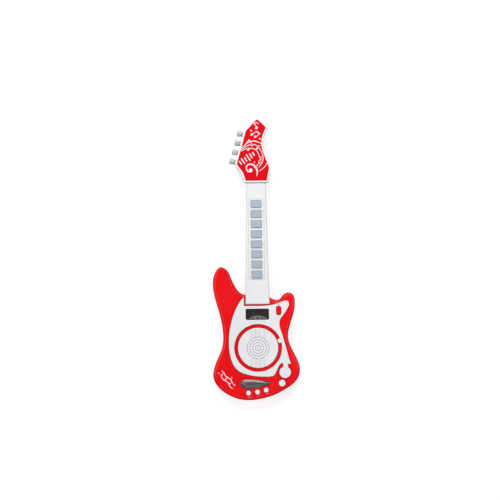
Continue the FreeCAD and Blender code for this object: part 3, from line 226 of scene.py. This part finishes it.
# ---------------------------------------------------------------- materials of the casing
def moulded(name, colour, roughness, dark, gloss, peel=1.0, coat=0.0, tint=None, crevice_shade=0.5):
    """Moulded plastic: colour that drifts a little, orange peel, rubbed edges and fine scratches."""
    made = Shader(name, colour, roughness)
    flow = made.noise(14, 4)
    mottle = made.noise(900, 2)
    drift = made.spread(flow, 0.3, 0.7, 0, 1)
    base = made.blend(drift, shade(colour, dark), tint or shade(colour, 1.04))
    speck = made.spread(mottle, 0.35, 0.75, 0.0, 0.22)
    base = made.blend(speck, base, shade(colour, dark * 0.92))
    patchy = made.spread(made.noise(320, 3), 0.45, 0.7, 0, 0.35)
    rubbed = made.joined("MULTIPLY", made.edges(), patchy)
    base = made.blend(rubbed, base, shade(colour, 1.2))
    # Painted shade: the colour is darkened in crevices, gaps and around raised parts, where shadow falls.
    base = made.blend(made.crevices(4 * MM, crevice_shade), base, shade(colour, 0.35))
    made.drive("Base Color", base)
    scratch = made.noise(60, 5, made.stretched((1.0, 26.0, 1.0), 0.7), 0.7)
    scratch = made.spread(scratch, 0.6, 0.72, 0, 1)
    worn = made.spread(scratch, 0, 1, 0, 0.12)
    rough = made.spread(flow, 0.3, 0.7, roughness * 0.8, roughness * 1.25)
    made.drive("Roughness", made.joined("ADD", rough, worn))
    made.set("Specular IOR Level", gloss)
    made.set("Coat Weight", coat)
    made.set("Coat Roughness", 0.08)
    made.soft_edges(0.4 * MM)
    made.bump(made.noise(700, 3), 0.012 * MM * peel)
    made.bump(made.noise(110, 2), 0.05 * MM * peel)
    made.bump(scratch, 0.004 * MM, 0.6)
    return made.done()


def smoked(name, colour, alpha, roughness):
    """Clear plastic tinted dark, polished, with faint haze and wiping marks."""
    made = Shader(name, colour, roughness)
    haze = made.noise(55, 4)
    wipe = made.noise(40, 4, made.stretched((1.0, 9.0, 1.0), 0.5), 0.65)
    cloudy = made.spread(haze, 0.35, 0.65, 0, 1)
    made.drive("Base Color", made.blend(cloudy, colour, shade(colour, 1.35)))
    made.drive("Roughness", made.spread(wipe, 0.35, 0.7, roughness, roughness + 0.03))
    made.set("Alpha", alpha)
    made.set("Specular IOR Level", 0.6)
    made.set("Coat Weight", 0.5)
    made.set("Coat Roughness", roughness)
    made.soft_edges(0.2 * MM)
    made.bump(wipe, 0.001 * MM)
    return made.done()


red_plastic = moulded("red_plastic", (0.85, 0.003, 0.007), 0.22, 0.94, 0.3,
                      tint=(0.89, 0.004, 0.009), crevice_shade=0.75)
# Painted shade: the headstock plate gets the red plastic made darker, so that it looks darker than the
# body in this light.
shaded_plate_plastic = moulded("red_plastic_shaded", (0.74, 0.003, 0.009), 0.2, 0.94, 0.25, peel=0.8,
                        tint=(0.78, 0.004, 0.011))
white_plastic = moulded("white_plastic", (0.80, 0.81, 0.83), 0.36, 0.975, 0.4, peel=0.8)
bright_plastic = moulded("bright_white_plastic", (0.90, 0.885, 0.885), 0.34, 0.98, 0.4, peel=0.8,
                         crevice_shade=0.2)
button_plastic = moulded("button_plastic", (0.88, 0.84, 0.86), 0.24, 0.97, 0.5, peel=0.6, coat=0.2)
key_plastic = moulded("key_plastic", (0.40, 0.46, 0.54), 0.42, 0.95, 0.4, peel=1.4)
peg_plastic = moulded("peg_plastic", (0.46, 0.48, 0.49), 0.28, 0.93, 0.6, peel=0.8, coat=0.1)
window_plastic = smoked("window_smoke", (0.026, 0.020, 0.024), 0.60, 0.07)
lens_plastic = smoked("lens_smoke", (0.085, 0.062, 0.072), 0.85, 0.19)

paint(["body_front_shell", "body_back_shell", "battery_door", "rocker_switch"], red_plastic)
paint(["headstock_plate"], shaded_plate_plastic)
paint(["pickguard", "speaker_grille", "neck_front_shell", "neck_back_shell"], white_plastic)
paint(["headstock_front_shell", "headstock_back_shell"], bright_plastic)
paint(["play_button"] + numbered("button", 3), button_plastic)
paint(numbered("key", 8), key_plastic)
paint(numbered("peg", 4), peg_plastic)
paint(["light_window"], window_plastic)


# ---------------------------------------------------------------- materials of the inner pieces
def simple(name, colour, roughness, metal, grain, depth, dark=0.8):
    """A finish with an even grain, for small inner pieces. Depth is in millimetres."""
    made = Shader(name, colour, roughness)
    patch = made.noise(30, 4)
    fine = made.noise(grain, 3)
    base = made.blend(made.spread(patch, 0.3, 0.7, 0, 1), shade(colour, dark), colour)
    base = made.blend(made.spread(fine, 0.45, 0.75, 0, 0.4), base, shade(colour, 1.25))
    made.drive("Base Color", base)
    made.drive("Roughness", made.spread(fine, 0.3, 0.7, roughness * 0.8, roughness * 1.25))
    made.set("Metallic", metal)
    made.bump(fine, depth * MM)
    return made.done()


def circuit_board():
    """Green solder mask over tracks that show as faint raised lines."""
    green, dark_green, track_green = (0.05, 0.22, 0.12), (0.03, 0.16, 0.08), (0.10, 0.34, 0.18)
    made = Shader("circuit_board", green, 0.35)
    bricks = made.node("ShaderNodeTexBrick")
    bricks.inputs["Scale"].default_value = 160
    bricks.inputs["Mortar Size"].default_value = 0.03
    made.link(made.place, bricks.inputs["Vector"])
    track = bricks.outputs["Fac"]
    patch = made.noise(60, 3)
    base = made.blend(made.spread(patch, 0.4, 0.6, 0, 1), dark_green, green)
    made.drive("Base Color", made.blend(track, base, track_green))
    made.drive("Roughness", made.spread(patch, 0.3, 0.7, 0.28, 0.42))
    made.bump(track, 0.035 * MM)
    return made.done()


def brushed_steel():
    """Zinc-plated steel, turned, with a warm drift in its colour."""
    cool, warm = (0.48, 0.48, 0.50), (0.62, 0.61, 0.58)
    made = Shader("screw_steel", (0.55, 0.55, 0.56), 0.3)
    turning = made.noise(500, 3, made.stretched((1.0, 1.0, 14.0)))
    patch = made.noise(200, 3)
    made.drive("Base Color", made.blend(made.spread(patch, 0.35, 0.65, 0, 1), cool, warm))
    made.drive("Roughness", made.spread(turning, 0.3, 0.7, 0.22, 0.42))
    made.set("Metallic", 1.0)
    made.bump(turning, 0.01 * MM)
    return made.done()


def paper_cone():
    """Black pressed paper with long fibres."""
    dark, light = (0.02, 0.02, 0.02), (0.06, 0.058, 0.055)
    made = Shader("speaker_paper", (0.035, 0.034, 0.033), 0.75)
    fibre = made.noise(500, 5, made.stretched((1.0, 5.0, 1.0), 0.4), 0.7)
    made.drive("Base Color", made.blend(made.spread(fibre, 0.35, 0.7, 0, 1), dark, light))
    made.bump(fibre, 0.06 * MM)
    return made.done()


# Each row: the nodes, then the finish's name, colour, roughness, metal, grain and depth, and for
# some how dark its dark patches are.
INNER_FINISHES = [
    (["board_chips", "rocker_contacts"], "black_chips", (0.03, 0.03, 0.032), 0.5, 0, 900, 0.01),
    (["speaker_basket"], "black_steel", (0.045, 0.045, 0.05), 0.4, 0, 300, 0.03),
    (["speaker_magnet"], "ferrite", (0.10, 0.10, 0.11), 0.5, 0.3, 500, 0.03),
    (["lamps"], "lamp_resin", (0.80, 0.74, 0.62), 0.25, 0, 200, 0.005, 0.92),
    (["light_tray"], "tray_plastic", (0.62, 0.56, 0.53), 0.45, 0, 300, 0.01, 0.85),
    (["batteries"], "cell_jacket", (0.30, 0.31, 0.34), 0.35, 0.6, 300, 0.008),
    (["battery_contacts"], "plated_spring", (0.68, 0.67, 0.64), 0.25, 1, 300, 0.01),
    (["neck_cable"], "grey_wire", (0.38, 0.38, 0.39), 0.5, 0, 350, 0.02),
    (["speaker_wires"], "red_wire", (0.55, 0.03, 0.03), 0.45, 0, 350, 0.02),
    (["battery_wires"], "black_wire", (0.025, 0.025, 0.026), 0.45, 0, 350, 0.02)]

for nodes, *finish in INNER_FINISHES:
    paint(nodes, simple(*finish))
paint(["light_board", "main_board", "rocker_board", "key_board"], circuit_board())
paint(["speaker_cone"], paper_cone())
paint([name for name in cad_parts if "screw" in name], brushed_steel())
silicone = simple("silicone", (0.66, 0.66, 0.65), 0.55, 0, 250, 0.02)


# ---------------------------------------------------------------- rubber mats
SHEET_THICK = 1.0 * MM
TOUCH = 0.01 * MM
# Circles that hold a dome's foot with a little to spare.
KEY_DOME_REACH = 4.6 * MM
BUTTON_DOME_REACH = 3.6 * MM


def dome_faces(mesh, x, y, reach, level):
    """The faces above a level that lie within reach of a dome's axis."""
    return [face for face in mesh.faces
            if all(math.hypot(vert.co.x - x, vert.co.y - y) < reach
                   and vert.co.z > level - TOUCH for vert in face.verts)]


def split_mat(node, pressers, reach):
    """Cuts a mat into its sheet and its domes, each dome a piece with a mesh of its own."""
    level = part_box(node)[0].z + SHEET_THICK
    sheet = bmesh.new()
    sheet.from_mesh(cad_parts[node].data)
    for presser in pressers:
        low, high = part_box(presser)
        x = (low.x + high.x) / 2
        y = (low.y + high.y) / 2
        dome = sheet.copy()
        kept = set(dome_faces(dome, x, y, reach, level))
        rest = [face for face in dome.faces if face not in kept]
        bmesh.ops.delete(dome, geom=rest, context="FACES")
        bmesh.ops.delete(sheet, geom=dome_faces(sheet, x, y, reach, level), context="FACES")
        piece = add_piece(presser + "_dome", dome, silicone, "silicone")
        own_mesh(piece)
        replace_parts(piece, node)
    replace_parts(add_piece(node + "_sheet", sheet, silicone, "silicone"), node)


split_mat("key_mat", numbered("key", 8), KEY_DOME_REACH)
split_mat("button_mat", numbered("button", 3) + ["play_button"], BUTTON_DOME_REACH)


# ---------------------------------------------------------------- smooth lines
def curve_point(t, corners):
    """The place a share t of the way between the middle two of four corners, on a smooth curve."""
    return tuple(
        0.5 * (2 * q + (r - p) * t + (2 * p - 5 * q + 4 * r - s) * t * t
               + (3 * q - p - 3 * r + s) * t ** 3) for p, q, r, s in zip(*corners))


def smooth_path(points, steps=8):
    """Points along a smooth open line through the given ones."""
    if len(points) < 3:
        return points
    padded = [points[0]] + points + [points[-1]]
    run = []
    for corners in zip(padded, padded[1:], padded[2:], padded[3:]):
        run.extend(curve_point(step / steps, corners) for step in range(steps))
    return run + [points[-1]]


def smooth_loop(points, steps):
    """Points along a smooth closed line through the given ones."""
    count = len(points)
    run = []
    for index in range(count):
        corners = [points[(index + shift) % count] for shift in (-1, 0, 1, 2)]
        run.extend(curve_point(step / steps, corners) for step in range(steps))
    return run


def widths_along(widths, count):
    """A width for each of count points, from one width or from a list spread along them."""
    if isinstance(widths, float):
        return [widths] * count
    steps = max(1, count // (len(widths) - 1))
    sizes = [size[0] for size in smooth_path([(width,) for width in widths], steps)]
    return [sizes[min(index, len(sizes) - 1)] for index in range(count)]


def placed(x, y, turn, size=1.0):
    """A function that moves a point drawn about the origin to x, y, turned and scaled."""
    cosine, sine = math.cos(turn), math.sin(turn)

    def put(u, v):
        return (x + (u * cosine - v * sine) * size, y + (u * sine + v * cosine) * size)

    return put


# ---------------------------------------------------------------- printed marks
PRINT_THICK = 0.05 * MM
PRINT_SINK = 0.02 * MM
# Patches that overlap lie at slightly different heights, so that they don't fight for a place.
LAYER_STEP = 0.002 * MM
LAYERS = 6
END_STEPS = 5


class Print:
    """Thin raised ink on one flat face, built from strokes and spots."""

    def __init__(self, name, height, material, slot="white_plastic"):
        self.name = name
        self.height = height
        self.material = material
        self.slot = slot
        self.mesh = bmesh.new()
        self.layer = 0

    def patch(self, outline):
        """A filled flat outline with a little thickness."""
        top = self.height + PRINT_THICK - PRINT_SINK + self.layer * LAYER_STEP
        self.layer = (self.layer + 1) % LAYERS
        upper = [self.mesh.verts.new(at(x, y, top)) for x, y in outline]
        lower = [self.mesh.verts.new(at(x, y, self.height - PRINT_SINK)) for x, y in outline]
        self.mesh.faces.new(upper)
        self.mesh.faces.new(lower[::-1])
        count = len(outline)
        for index in range(count):
            after = (index + 1) % count
            self.mesh.faces.new((upper[index], lower[index], lower[after], upper[after]))

    def stroke(self, points, widths):
        """A smooth line with round ends, of one width or of a list of widths along it."""
        run = smooth_path(points)
        last = len(run) - 1
        left, right, turns = [], [], []
        halves = [width / 2 for width in widths_along(widths, len(run))]
        for index, (x, y) in enumerate(run):
            ahead = run[min(index + 1, last)]
            back = run[max(index - 1, 0)]
            turn = math.atan2(ahead[1] - back[1], ahead[0] - back[0])
            side_x, side_y = math.sin(turn) * halves[index], math.cos(turn) * halves[index]
            left.append((x - side_x, y + side_y))
            right.append((x + side_x, y - side_y))
            turns.append(turn)
        end = self.round_end(run[-1], halves[-1], turns[-1] + math.pi / 2)
        start = self.round_end(run[0], halves[0], turns[0] - math.pi / 2)
        self.patch(left + end + right[::-1] + start)

    def round_end(self, place, radius, angle):
        """The points of a half circle that closes a stroke, without its two ends."""
        points = []
        for index in range(1, END_STEPS):
            turn = angle - math.pi * index / END_STEPS
            points.append((place[0] + radius * math.cos(turn), place[1] + radius * math.sin(turn)))
        return points

    def spot(self, x, y, wide, high, turn=0.0, count=18):
        """A filled oval with the given half sizes."""
        put = placed(x, y, turn)
        angles = [2 * math.pi * index / count for index in range(count)]
        self.patch([put(wide * math.cos(angle), high * math.sin(angle)) for angle in angles])

    def dot(self, x, y, radius):
        """A filled circle."""
        self.spot(x, y, radius, radius)

    def done(self):
        """Turns the ink that was laid down into a piece."""
        many = [face for face in self.mesh.faces if len(face.verts) > 4]
        bmesh.ops.triangulate(self.mesh, faces=many)
        bmesh.ops.recalc_face_normals(self.mesh, faces=self.mesh.faces[:])
        add_piece(self.name, self.mesh, self.material, self.slot)


def note(ink, x, y, size, turn):
    """A quaver: a slanted head, a stem and a flag."""
    put = placed(x, y, turn, size)
    ink.spot(*put(0, 0), 1.25 * size, 0.95 * size, turn + 0.35)
    ink.stroke([put(1.0, 0.2), put(1.0, 4.2)], 0.45 * size)
    ink.stroke([put(1.0, 4.2), put(2.3, 3.1), put(2.5, 1.9)], [0.7 * size, 0.6 * size, 0.25 * size])


def beamed_pair(ink, heads, tops, size):
    """Two heads whose stems share a thick beam."""
    for head, top in zip(heads, tops):
        ink.spot(*head, 1.25 * size, 0.95 * size, 0.35)
        ink.stroke([(head[0] + size, head[1] + 0.3 * size), top], 0.55 * size)
    ink.stroke(tops, 1.1 * size)


def ink_finish(name, colour):
    """Pad-printed ink: a satin film with faint pinholes and uneven cover."""
    made = Shader(name, colour, 0.42)
    cover = made.noise(260, 4)
    thin = made.spread(cover, 0.35, 0.7, 0, 1)
    made.drive("Base Color", made.blend(thin, shade(colour, 0.93), colour))
    made.drive("Roughness", made.spread(cover, 0.3, 0.7, 0.36, 0.5))
    made.bump(cover, 0.006 * MM)
    return made.done()


white_ink = ink_finish("white_ink", (0.93, 0.76, 0.80))
pale_ink = ink_finish("pale_red_ink", (0.82, 0.30, 0.34))
grey_ink = ink_finish("grey_ink", (0.30, 0.31, 0.34))
arch_ink = ink_finish("arch_ink", (0.34, 0.28, 0.29))
dusk_ink = ink_finish("dusk_ink", (0.075, 0.072, 0.085))
pearl_ink = ink_finish("pearl_ink", (0.60, 0.57, 0.61))


# ---------------------------------------------------------------- headstock print
def headstock_staff():
    """A curling stave of three lines, with small notes and spots on it."""
    ink = Print("headstock_staff_print", HEAD_FACE, white_ink)
    ink.stroke([(-27.2, 489.8), (-20.0, 496.0), (-12.4, 501.6), (-3.2, 503.4), (6.0, 501.0),
                (11.0, 498.2)], [1.6, 1.5, 1.6, 2.2, 1.7, 1.3])
    ink.stroke([(-27.8, 486.9), (-20.7, 491.7), (-13.0, 495.4), (-6.0, 496.8), (0.5, 495.4),
                (6.3, 490.8), (11.2, 482.5), (14.0, 475.0), (14.2, 467.5), (11.2, 459.4),
                (5.8, 452.6)], [1.4, 1.4, 1.5, 1.6, 1.6, 1.5, 1.4, 1.5, 1.6, 1.4, 1.0])
    ink.stroke([(-28.2, 484.4), (-18.9, 488.2), (-11.1, 489.6), (-3.4, 488.2), (2.3, 484.2),
                (6.1, 477.2), (7.6, 470.2)], [1.3, 1.4, 1.6, 1.6, 1.5, 1.4, 1.0])
    ink.stroke([(21.4, 460.0), (17.4, 453.5), (7.8, 445.6)], [1.3, 1.5, 1.2])
    ink.stroke([(-20.2, 495.6), (-12.2, 505.8)], 1.9)
    ink.stroke([(-12.2, 505.8), (-7.6, 499.0)], [2.0, 1.4])
    for x, y in ((-14.2, 486.6), (-6.6, 495.4), (2.6, 488.8)):
        ink.spot(x, y, 2.5, 2.0, 0.5)
    ink.stroke([(4.2, 489.6), (6.6, 494.6), (8.8, 492.6)], [1.1, 1.3, 0.6])
    beamed_pair(ink, [(3.0, 456.4), (7.6, 460.6)], [(6.4, 465.2), (11.0, 469.6)], 1.35)
    ink.stroke([(7.4, 472.6), (11.6, 472.0)], 1.2)
    ink.dot(-2.3, 462.5, 1.3)
    ink.done()


def headstock_clef():
    """A curl like a clef, thick in its bow and thin at its tail."""
    ink = Print("headstock_clef_print", HEAD_FACE, white_ink)
    ink.spot(-10.0, 446.6, 3.7, 3.7, count=28)
    ink.stroke([(-10.5, 443.6), (-15.0, 444.4), (-18.0, 448.8), (-17.8, 454.4), (-13.4, 458.4),
                (-6.4, 457.8), (0.2, 452.2), (2.9, 443.8), (1.5, 434.8)],
               [1.0, 1.8, 2.6, 2.9, 2.8, 3.5, 3.8, 3.0, 0.7])
    ink.done()


def headstock_notes():
    """A single note and a joined pair at the headstock's tip, with two spots."""
    ink = Print("headstock_notes_print", HEAD_FACE, white_ink)
    ink.spot(2.3, 528.6, 2.9, 2.3, 0.3)
    ink.stroke([(4.0, 530.0), (-1.8, 536.4), (2.6, 538.6), (6.6, 536.2)], [1.8, 1.7, 2.0, 0.9])
    for x, y in ((-6.9, 516.1), (-0.3, 511.6)):
        ink.spot(x, y, 2.8, 2.2, 0.3)
    ink.stroke([(-4.9, 517.3), (1.9, 521.8)], 1.4)
    ink.stroke([(1.9, 521.8), (8.4, 517.4)], 2.3)
    ink.stroke([(8.4, 517.4), (1.9, 512.6)], 1.4)
    ink.dot(-8.2, 523.6, 1.7)
    ink.dot(8.6, 507.4, 1.7)
    ink.done()


def headstock_bars():
    """A plain slanted row of bars of different heights."""
    ink = Print("headstock_bars_print", HEAD_FACE, white_ink)
    slant = math.radians(33)
    up_x, up_y = -math.sin(slant), math.cos(slant)
    first_x, first_y = -29.6, 461.4
    pitch_x, pitch_y = 5.1, 3.35
    width = 2.5
    for index, height in enumerate([6.0, 10.5, 7.5, 12.5, 9.0, 6.0]):
        x = first_x + index * pitch_x
        y = first_y + index * pitch_y
        half = height / 2
        ink.stroke([(x - up_x * half, y - up_y * half), (x + up_x * half, y + up_y * half)], width)
    ink.done()


# ---------------------------------------------------------------- body prints
def body_wave_print():
    """Two wavy lines with notes between them and dots round them, at the body's lower left."""
    ink = Print("body_wave_print", BODY_FACE, white_ink)
    slant = math.radians(-47)
    note_lean = 0.5
    note_size = 1.3
    dot_radius = 1.2
    wave_height = 1.3
    wave_rate = 0.3
    widths = [0.8, 1.5, 1.7, 1.7, 1.8, 1.7, 1.5, 0.8]
    spaces = len(widths) - 1
    put = placed(-61.5, 42.0, slant)
    for lane, start, end in ((3.9, -19, 17), (-3.9, -14, 21)):
        run = []
        for index in range(len(widths)):
            u = start + (end - start) * index / spaces
            run.append(put(u, lane + wave_height * math.sin(u * wave_rate)))
        ink.stroke(run, widths)
    for u, v in ((-13.0, -1.4), (-2.0, -0.6), (10.0, -1.6)):
        note(ink, *put(u, v), note_size, slant + note_lean)
    for u, v in ((-19.5, -3.0), (4.0, 9.0), (18.5, 3.0)):
        ink.dot(*put(u, v), dot_radius)
    ink.done()


def button_mark(name, height, middle_x, middle_y, rise):
    """A short row of dashes that climbs by rise for each millimetre to the right."""
    ink = Print(name, height, pale_ink)
    pitch, width = 2.6, 0.8
    for shift, length in ((-pitch, 1.3), (0.0, 2.0), (pitch, 1.3)):
        x = middle_x + shift
        y = middle_y + shift * rise
        half = length / 2
        ink.stroke([(x - half, y - half * rise), (x + half, y + half * rise)], width)
    ink.done()


def rocker_marks():
    """Plus above the rocker and minus below it."""
    ink = Print("rocker_marks", PLATE_TOP, grey_ink)
    x, plus_y, minus_y = 40.7, 186.1, 163.2
    half, width = 1.2, 0.7
    for y in (plus_y, minus_y):
        ink.stroke([(x - half, y), (x + half, y)], width)
    ink.stroke([(x, plus_y - half), (x, plus_y + half)], width)
    ink.done()


def window_print():
    """A thin arch with a duller field under it and a few dots, along the window's lower edge."""
    left, right, foot = -16.4, 17.6, 158.6
    arch = [(left, 159.7), (-8.4, 162.9), (0.2, 164.2), (8.9, 162.9), (right, 159.7)]
    shadow = Print("window_shadow_print", WINDOW_FACE, dusk_ink)
    shadow.patch([(left, foot)] + smooth_path(arch) + [(right, foot)])
    shadow.done()
    ink = Print("window_print", WINDOW_FACE + PRINT_THICK, arch_ink)
    ink.stroke(arch, [0.6, 1.0, 1.2, 1.0, 0.6])
    ink.done()
    dots = Print("window_dots_print", WINDOW_FACE + PRINT_THICK, pearl_ink)
    for x, y, radius in ((-4.4, 160.0, 1.0), (4.1, 160.0, 1.0), (-12.6, 161.6, 0.6), (9.9, 162.3, 0.6)):
        dots.dot(x, y, radius)
    dots.done()


headstock_staff()
headstock_clef()
headstock_notes()
headstock_bars()
body_wave_print()
button_mark("button_1_mark", BODY_FACE, -17.4, 7.0, 0.03)
button_mark("button_2_mark", RECESS_FLOOR, -0.6, 10.45, 0.12)
button_mark("button_3_mark", RECESS_FLOOR, 16.6, 13.4, 0.25)
rocker_marks()
window_print()


# ---------------------------------------------------------------- strum lens
LENS_CORNERS = [
    (-35.2, 33.0), (-33.2, 38.4), (-27.5, 41.2), (-18.0, 41.3), (-6.0, 40.3), (6.0, 38.8),
    (16.0, 37.0), (23.0, 35.1), (22.6, 32.4), (12.0, 28.2), (0.0, 24.9), (-11.0, 22.9),
    (-21.0, 22.3), (-29.0, 24.0), (-33.6, 28.0)]
# Steps of the outline from each corner to the next.
LENS_STEPS = 6
LENS_SPINE = ((-24.0, 32.0), (14.0, 34.0))
LENS_SEAT = BODY_FACE - 0.75 * MM
LENS_SHOULDER = BODY_FACE + 0.1 * MM
LENS_RISE = 3.2 * MM
LENS_RINGS = 16
# Above 1, the dome is steep at its rim and flat on its spine.
LENS_FULLNESS = 1.55
# The share of its height that the dome loses at its tip.
LENS_TAPER = 0.35


def lens_ring(mesh, outline, share, level, rise):
    """The outline, drawn in towards the spine by a share and lifted by the rise."""
    (start_x, start_y), (end_x, end_y) = LENS_SPINE
    ring = []
    for x, y in outline:
        along = min(1.0, max(0.0, (x - start_x) / (end_x - start_x)))
        in_x = start_x + along * (end_x - start_x) - x
        in_y = start_y + along * (end_y - start_y) - y
        height = level + rise * (1 - LENS_TAPER * along)
        ring.append(mesh.verts.new(at(x + in_x * share, y + in_y * share, height)))
    return ring


def strum_lens():
    """A domed lens in place of the flat one."""
    outline = smooth_loop(LENS_CORNERS, LENS_STEPS)
    count = len(outline)
    mesh = bmesh.new()
    rings = [lens_ring(mesh, outline, 0.0, level, 0.0) for level in (LENS_SEAT, LENS_SHOULDER)]
    for step in range(1, LENS_RINGS):
        share = step / LENS_RINGS
        rise = LENS_RISE * (1 - (1 - share) ** LENS_FULLNESS)
        rings.append(lens_ring(mesh, outline, share, LENS_SHOULDER, rise))
    for lower, upper in zip(rings, rings[1:]):
        for index in range(count):
            after = (index + 1) % count
            mesh.faces.new((lower[index], upper[index], upper[after], lower[after]))
    mesh.faces.new(rings[-1][::-1])
    mesh.faces.new(rings[0])
    bmesh.ops.recalc_face_normals(mesh, faces=mesh.faces[:])
    for face in mesh.faces:
        face.smooth = True
    piece = add_piece("domed_strum_lens", mesh, lens_plastic, "smoked_plastic")
    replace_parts(piece, "strum_lens")


strum_lens()


# ---------------------------------------------------------------- stage
FLOOR_SIZE = 30
FLOOR_GAP = 0.2 * MM
# Light that the camera sees coming off the floor, so that it is near white in the picture.
FLOOR_GLOW = 0.7
SKY_ABOVE = 0.10
SKY_BELOW = 0.75


def floor():
    """A pale matt floor under the whole guitar. Its glow is seen but lights nothing."""
    place = (0, 0, cad_low.z - FLOOR_GAP)
    bpy.ops.mesh.primitive_plane_add(size=FLOOR_SIZE, location=place)
    plane = bpy.context.object
    plane.name = "floor"
    made = Shader("floor_paint", (0.45, 0.45, 0.45), 0.9)
    grain = made.noise(6, 4)
    made.drive("Base Color", made.blend(grain, (0.43, 0.43, 0.43), (0.47, 0.47, 0.47)))
    made.set("Specular IOR Level", 0.1)
    made.set("Emission Color", (1, 1, 1, 1))
    seen = made.node("ShaderNodeLightPath").outputs["Is Camera Ray"]
    made.drive("Emission Strength", made.spread(seen, 0, 1, 0, FLOOR_GLOW))
    plane.data.materials.append(made.done())


def sky():
    """Dim overhead, so that gloss stays deep, and pale below and wherever a view looks past the floor."""
    world = bpy.data.worlds.new("studio")
    bpy.context.scene.world = world
    world.use_nodes = True
    tree = world.node_tree
    background = tree.nodes["Background"]
    place = tree.nodes.new("ShaderNodeTexCoord")
    split = tree.nodes.new("ShaderNodeSeparateXYZ")
    level = tree.nodes.new("ShaderNodeMapRange")
    seen = tree.nodes.new("ShaderNodeLightPath")
    brightest = tree.nodes.new("ShaderNodeMath")
    brightest.operation = "MAXIMUM"
    level.inputs["From Min"].default_value = -0.2
    level.inputs["From Max"].default_value = 0.0
    level.inputs["To Min"].default_value = SKY_BELOW
    level.inputs["To Max"].default_value = SKY_ABOVE
    background.inputs["Color"].default_value = (1.0, 1.0, 1.0, 1)
    tree.links.new(place.outputs["Generated"], split.inputs["Vector"])
    tree.links.new(split.outputs["Z"], level.inputs["Value"])
    tree.links.new(level.outputs["Result"], brightest.inputs[0])
    tree.links.new(seen.outputs["Is Camera Ray"], brightest.inputs[1])
    tree.links.new(brightest.outputs[0], background.inputs["Strength"])


def soft_light(name, place, size, watts):
    """A large oblong light that faces the guitar's middle."""
    data = bpy.data.lights.new(name, "AREA")
    data.shape = "RECTANGLE"
    data.size, data.size_y = size
    data.energy = watts
    lamp = bpy.data.objects.new(name, data)
    bpy.context.scene.collection.objects.link(lamp)
    lamp.location = place
    lamp.rotation_euler = (-Vector(place)).to_track_quat("-Z", "Y").to_euler()


def camera():
    """Straight down on the guitar, whose headstock leans a little to the left."""
    width, distance, lean = 0.968, 2.0, 0.75
    middle_x, middle_y = -13.3, 292.5
    sensor = 36
    data = bpy.data.cameras.new("camera")
    data.sensor_width = sensor
    data.lens = sensor * distance / width
    made = bpy.data.objects.new("camera", data)
    bpy.context.scene.collection.objects.link(made)
    made.location = at(middle_x, middle_y, distance + HEAD_FACE)
    made.rotation_euler = (0, 0, -math.radians(lean))
    bpy.context.scene.camera = made


# Each light's place and size in metres, and its watts.
LIGHTS = [
    ("light_head", (-0.15, 1.75, 2.0), (2.0, 1.2), 51),
    ("light_left", (-1.5, 0.1, 2.3), (1.4, 2.2), 20),
    ("light_right", (1.5, 0.0, 2.3), (1.4, 2.2), 15),
    ("light_foot", (0.0, -2.0, 2.2), (3.0, 1.6), 13)]

floor()
sky()
for light in LIGHTS:
    soft_light(*light)
camera()
bpy.context.scene.view_settings.view_transform = "Standard"
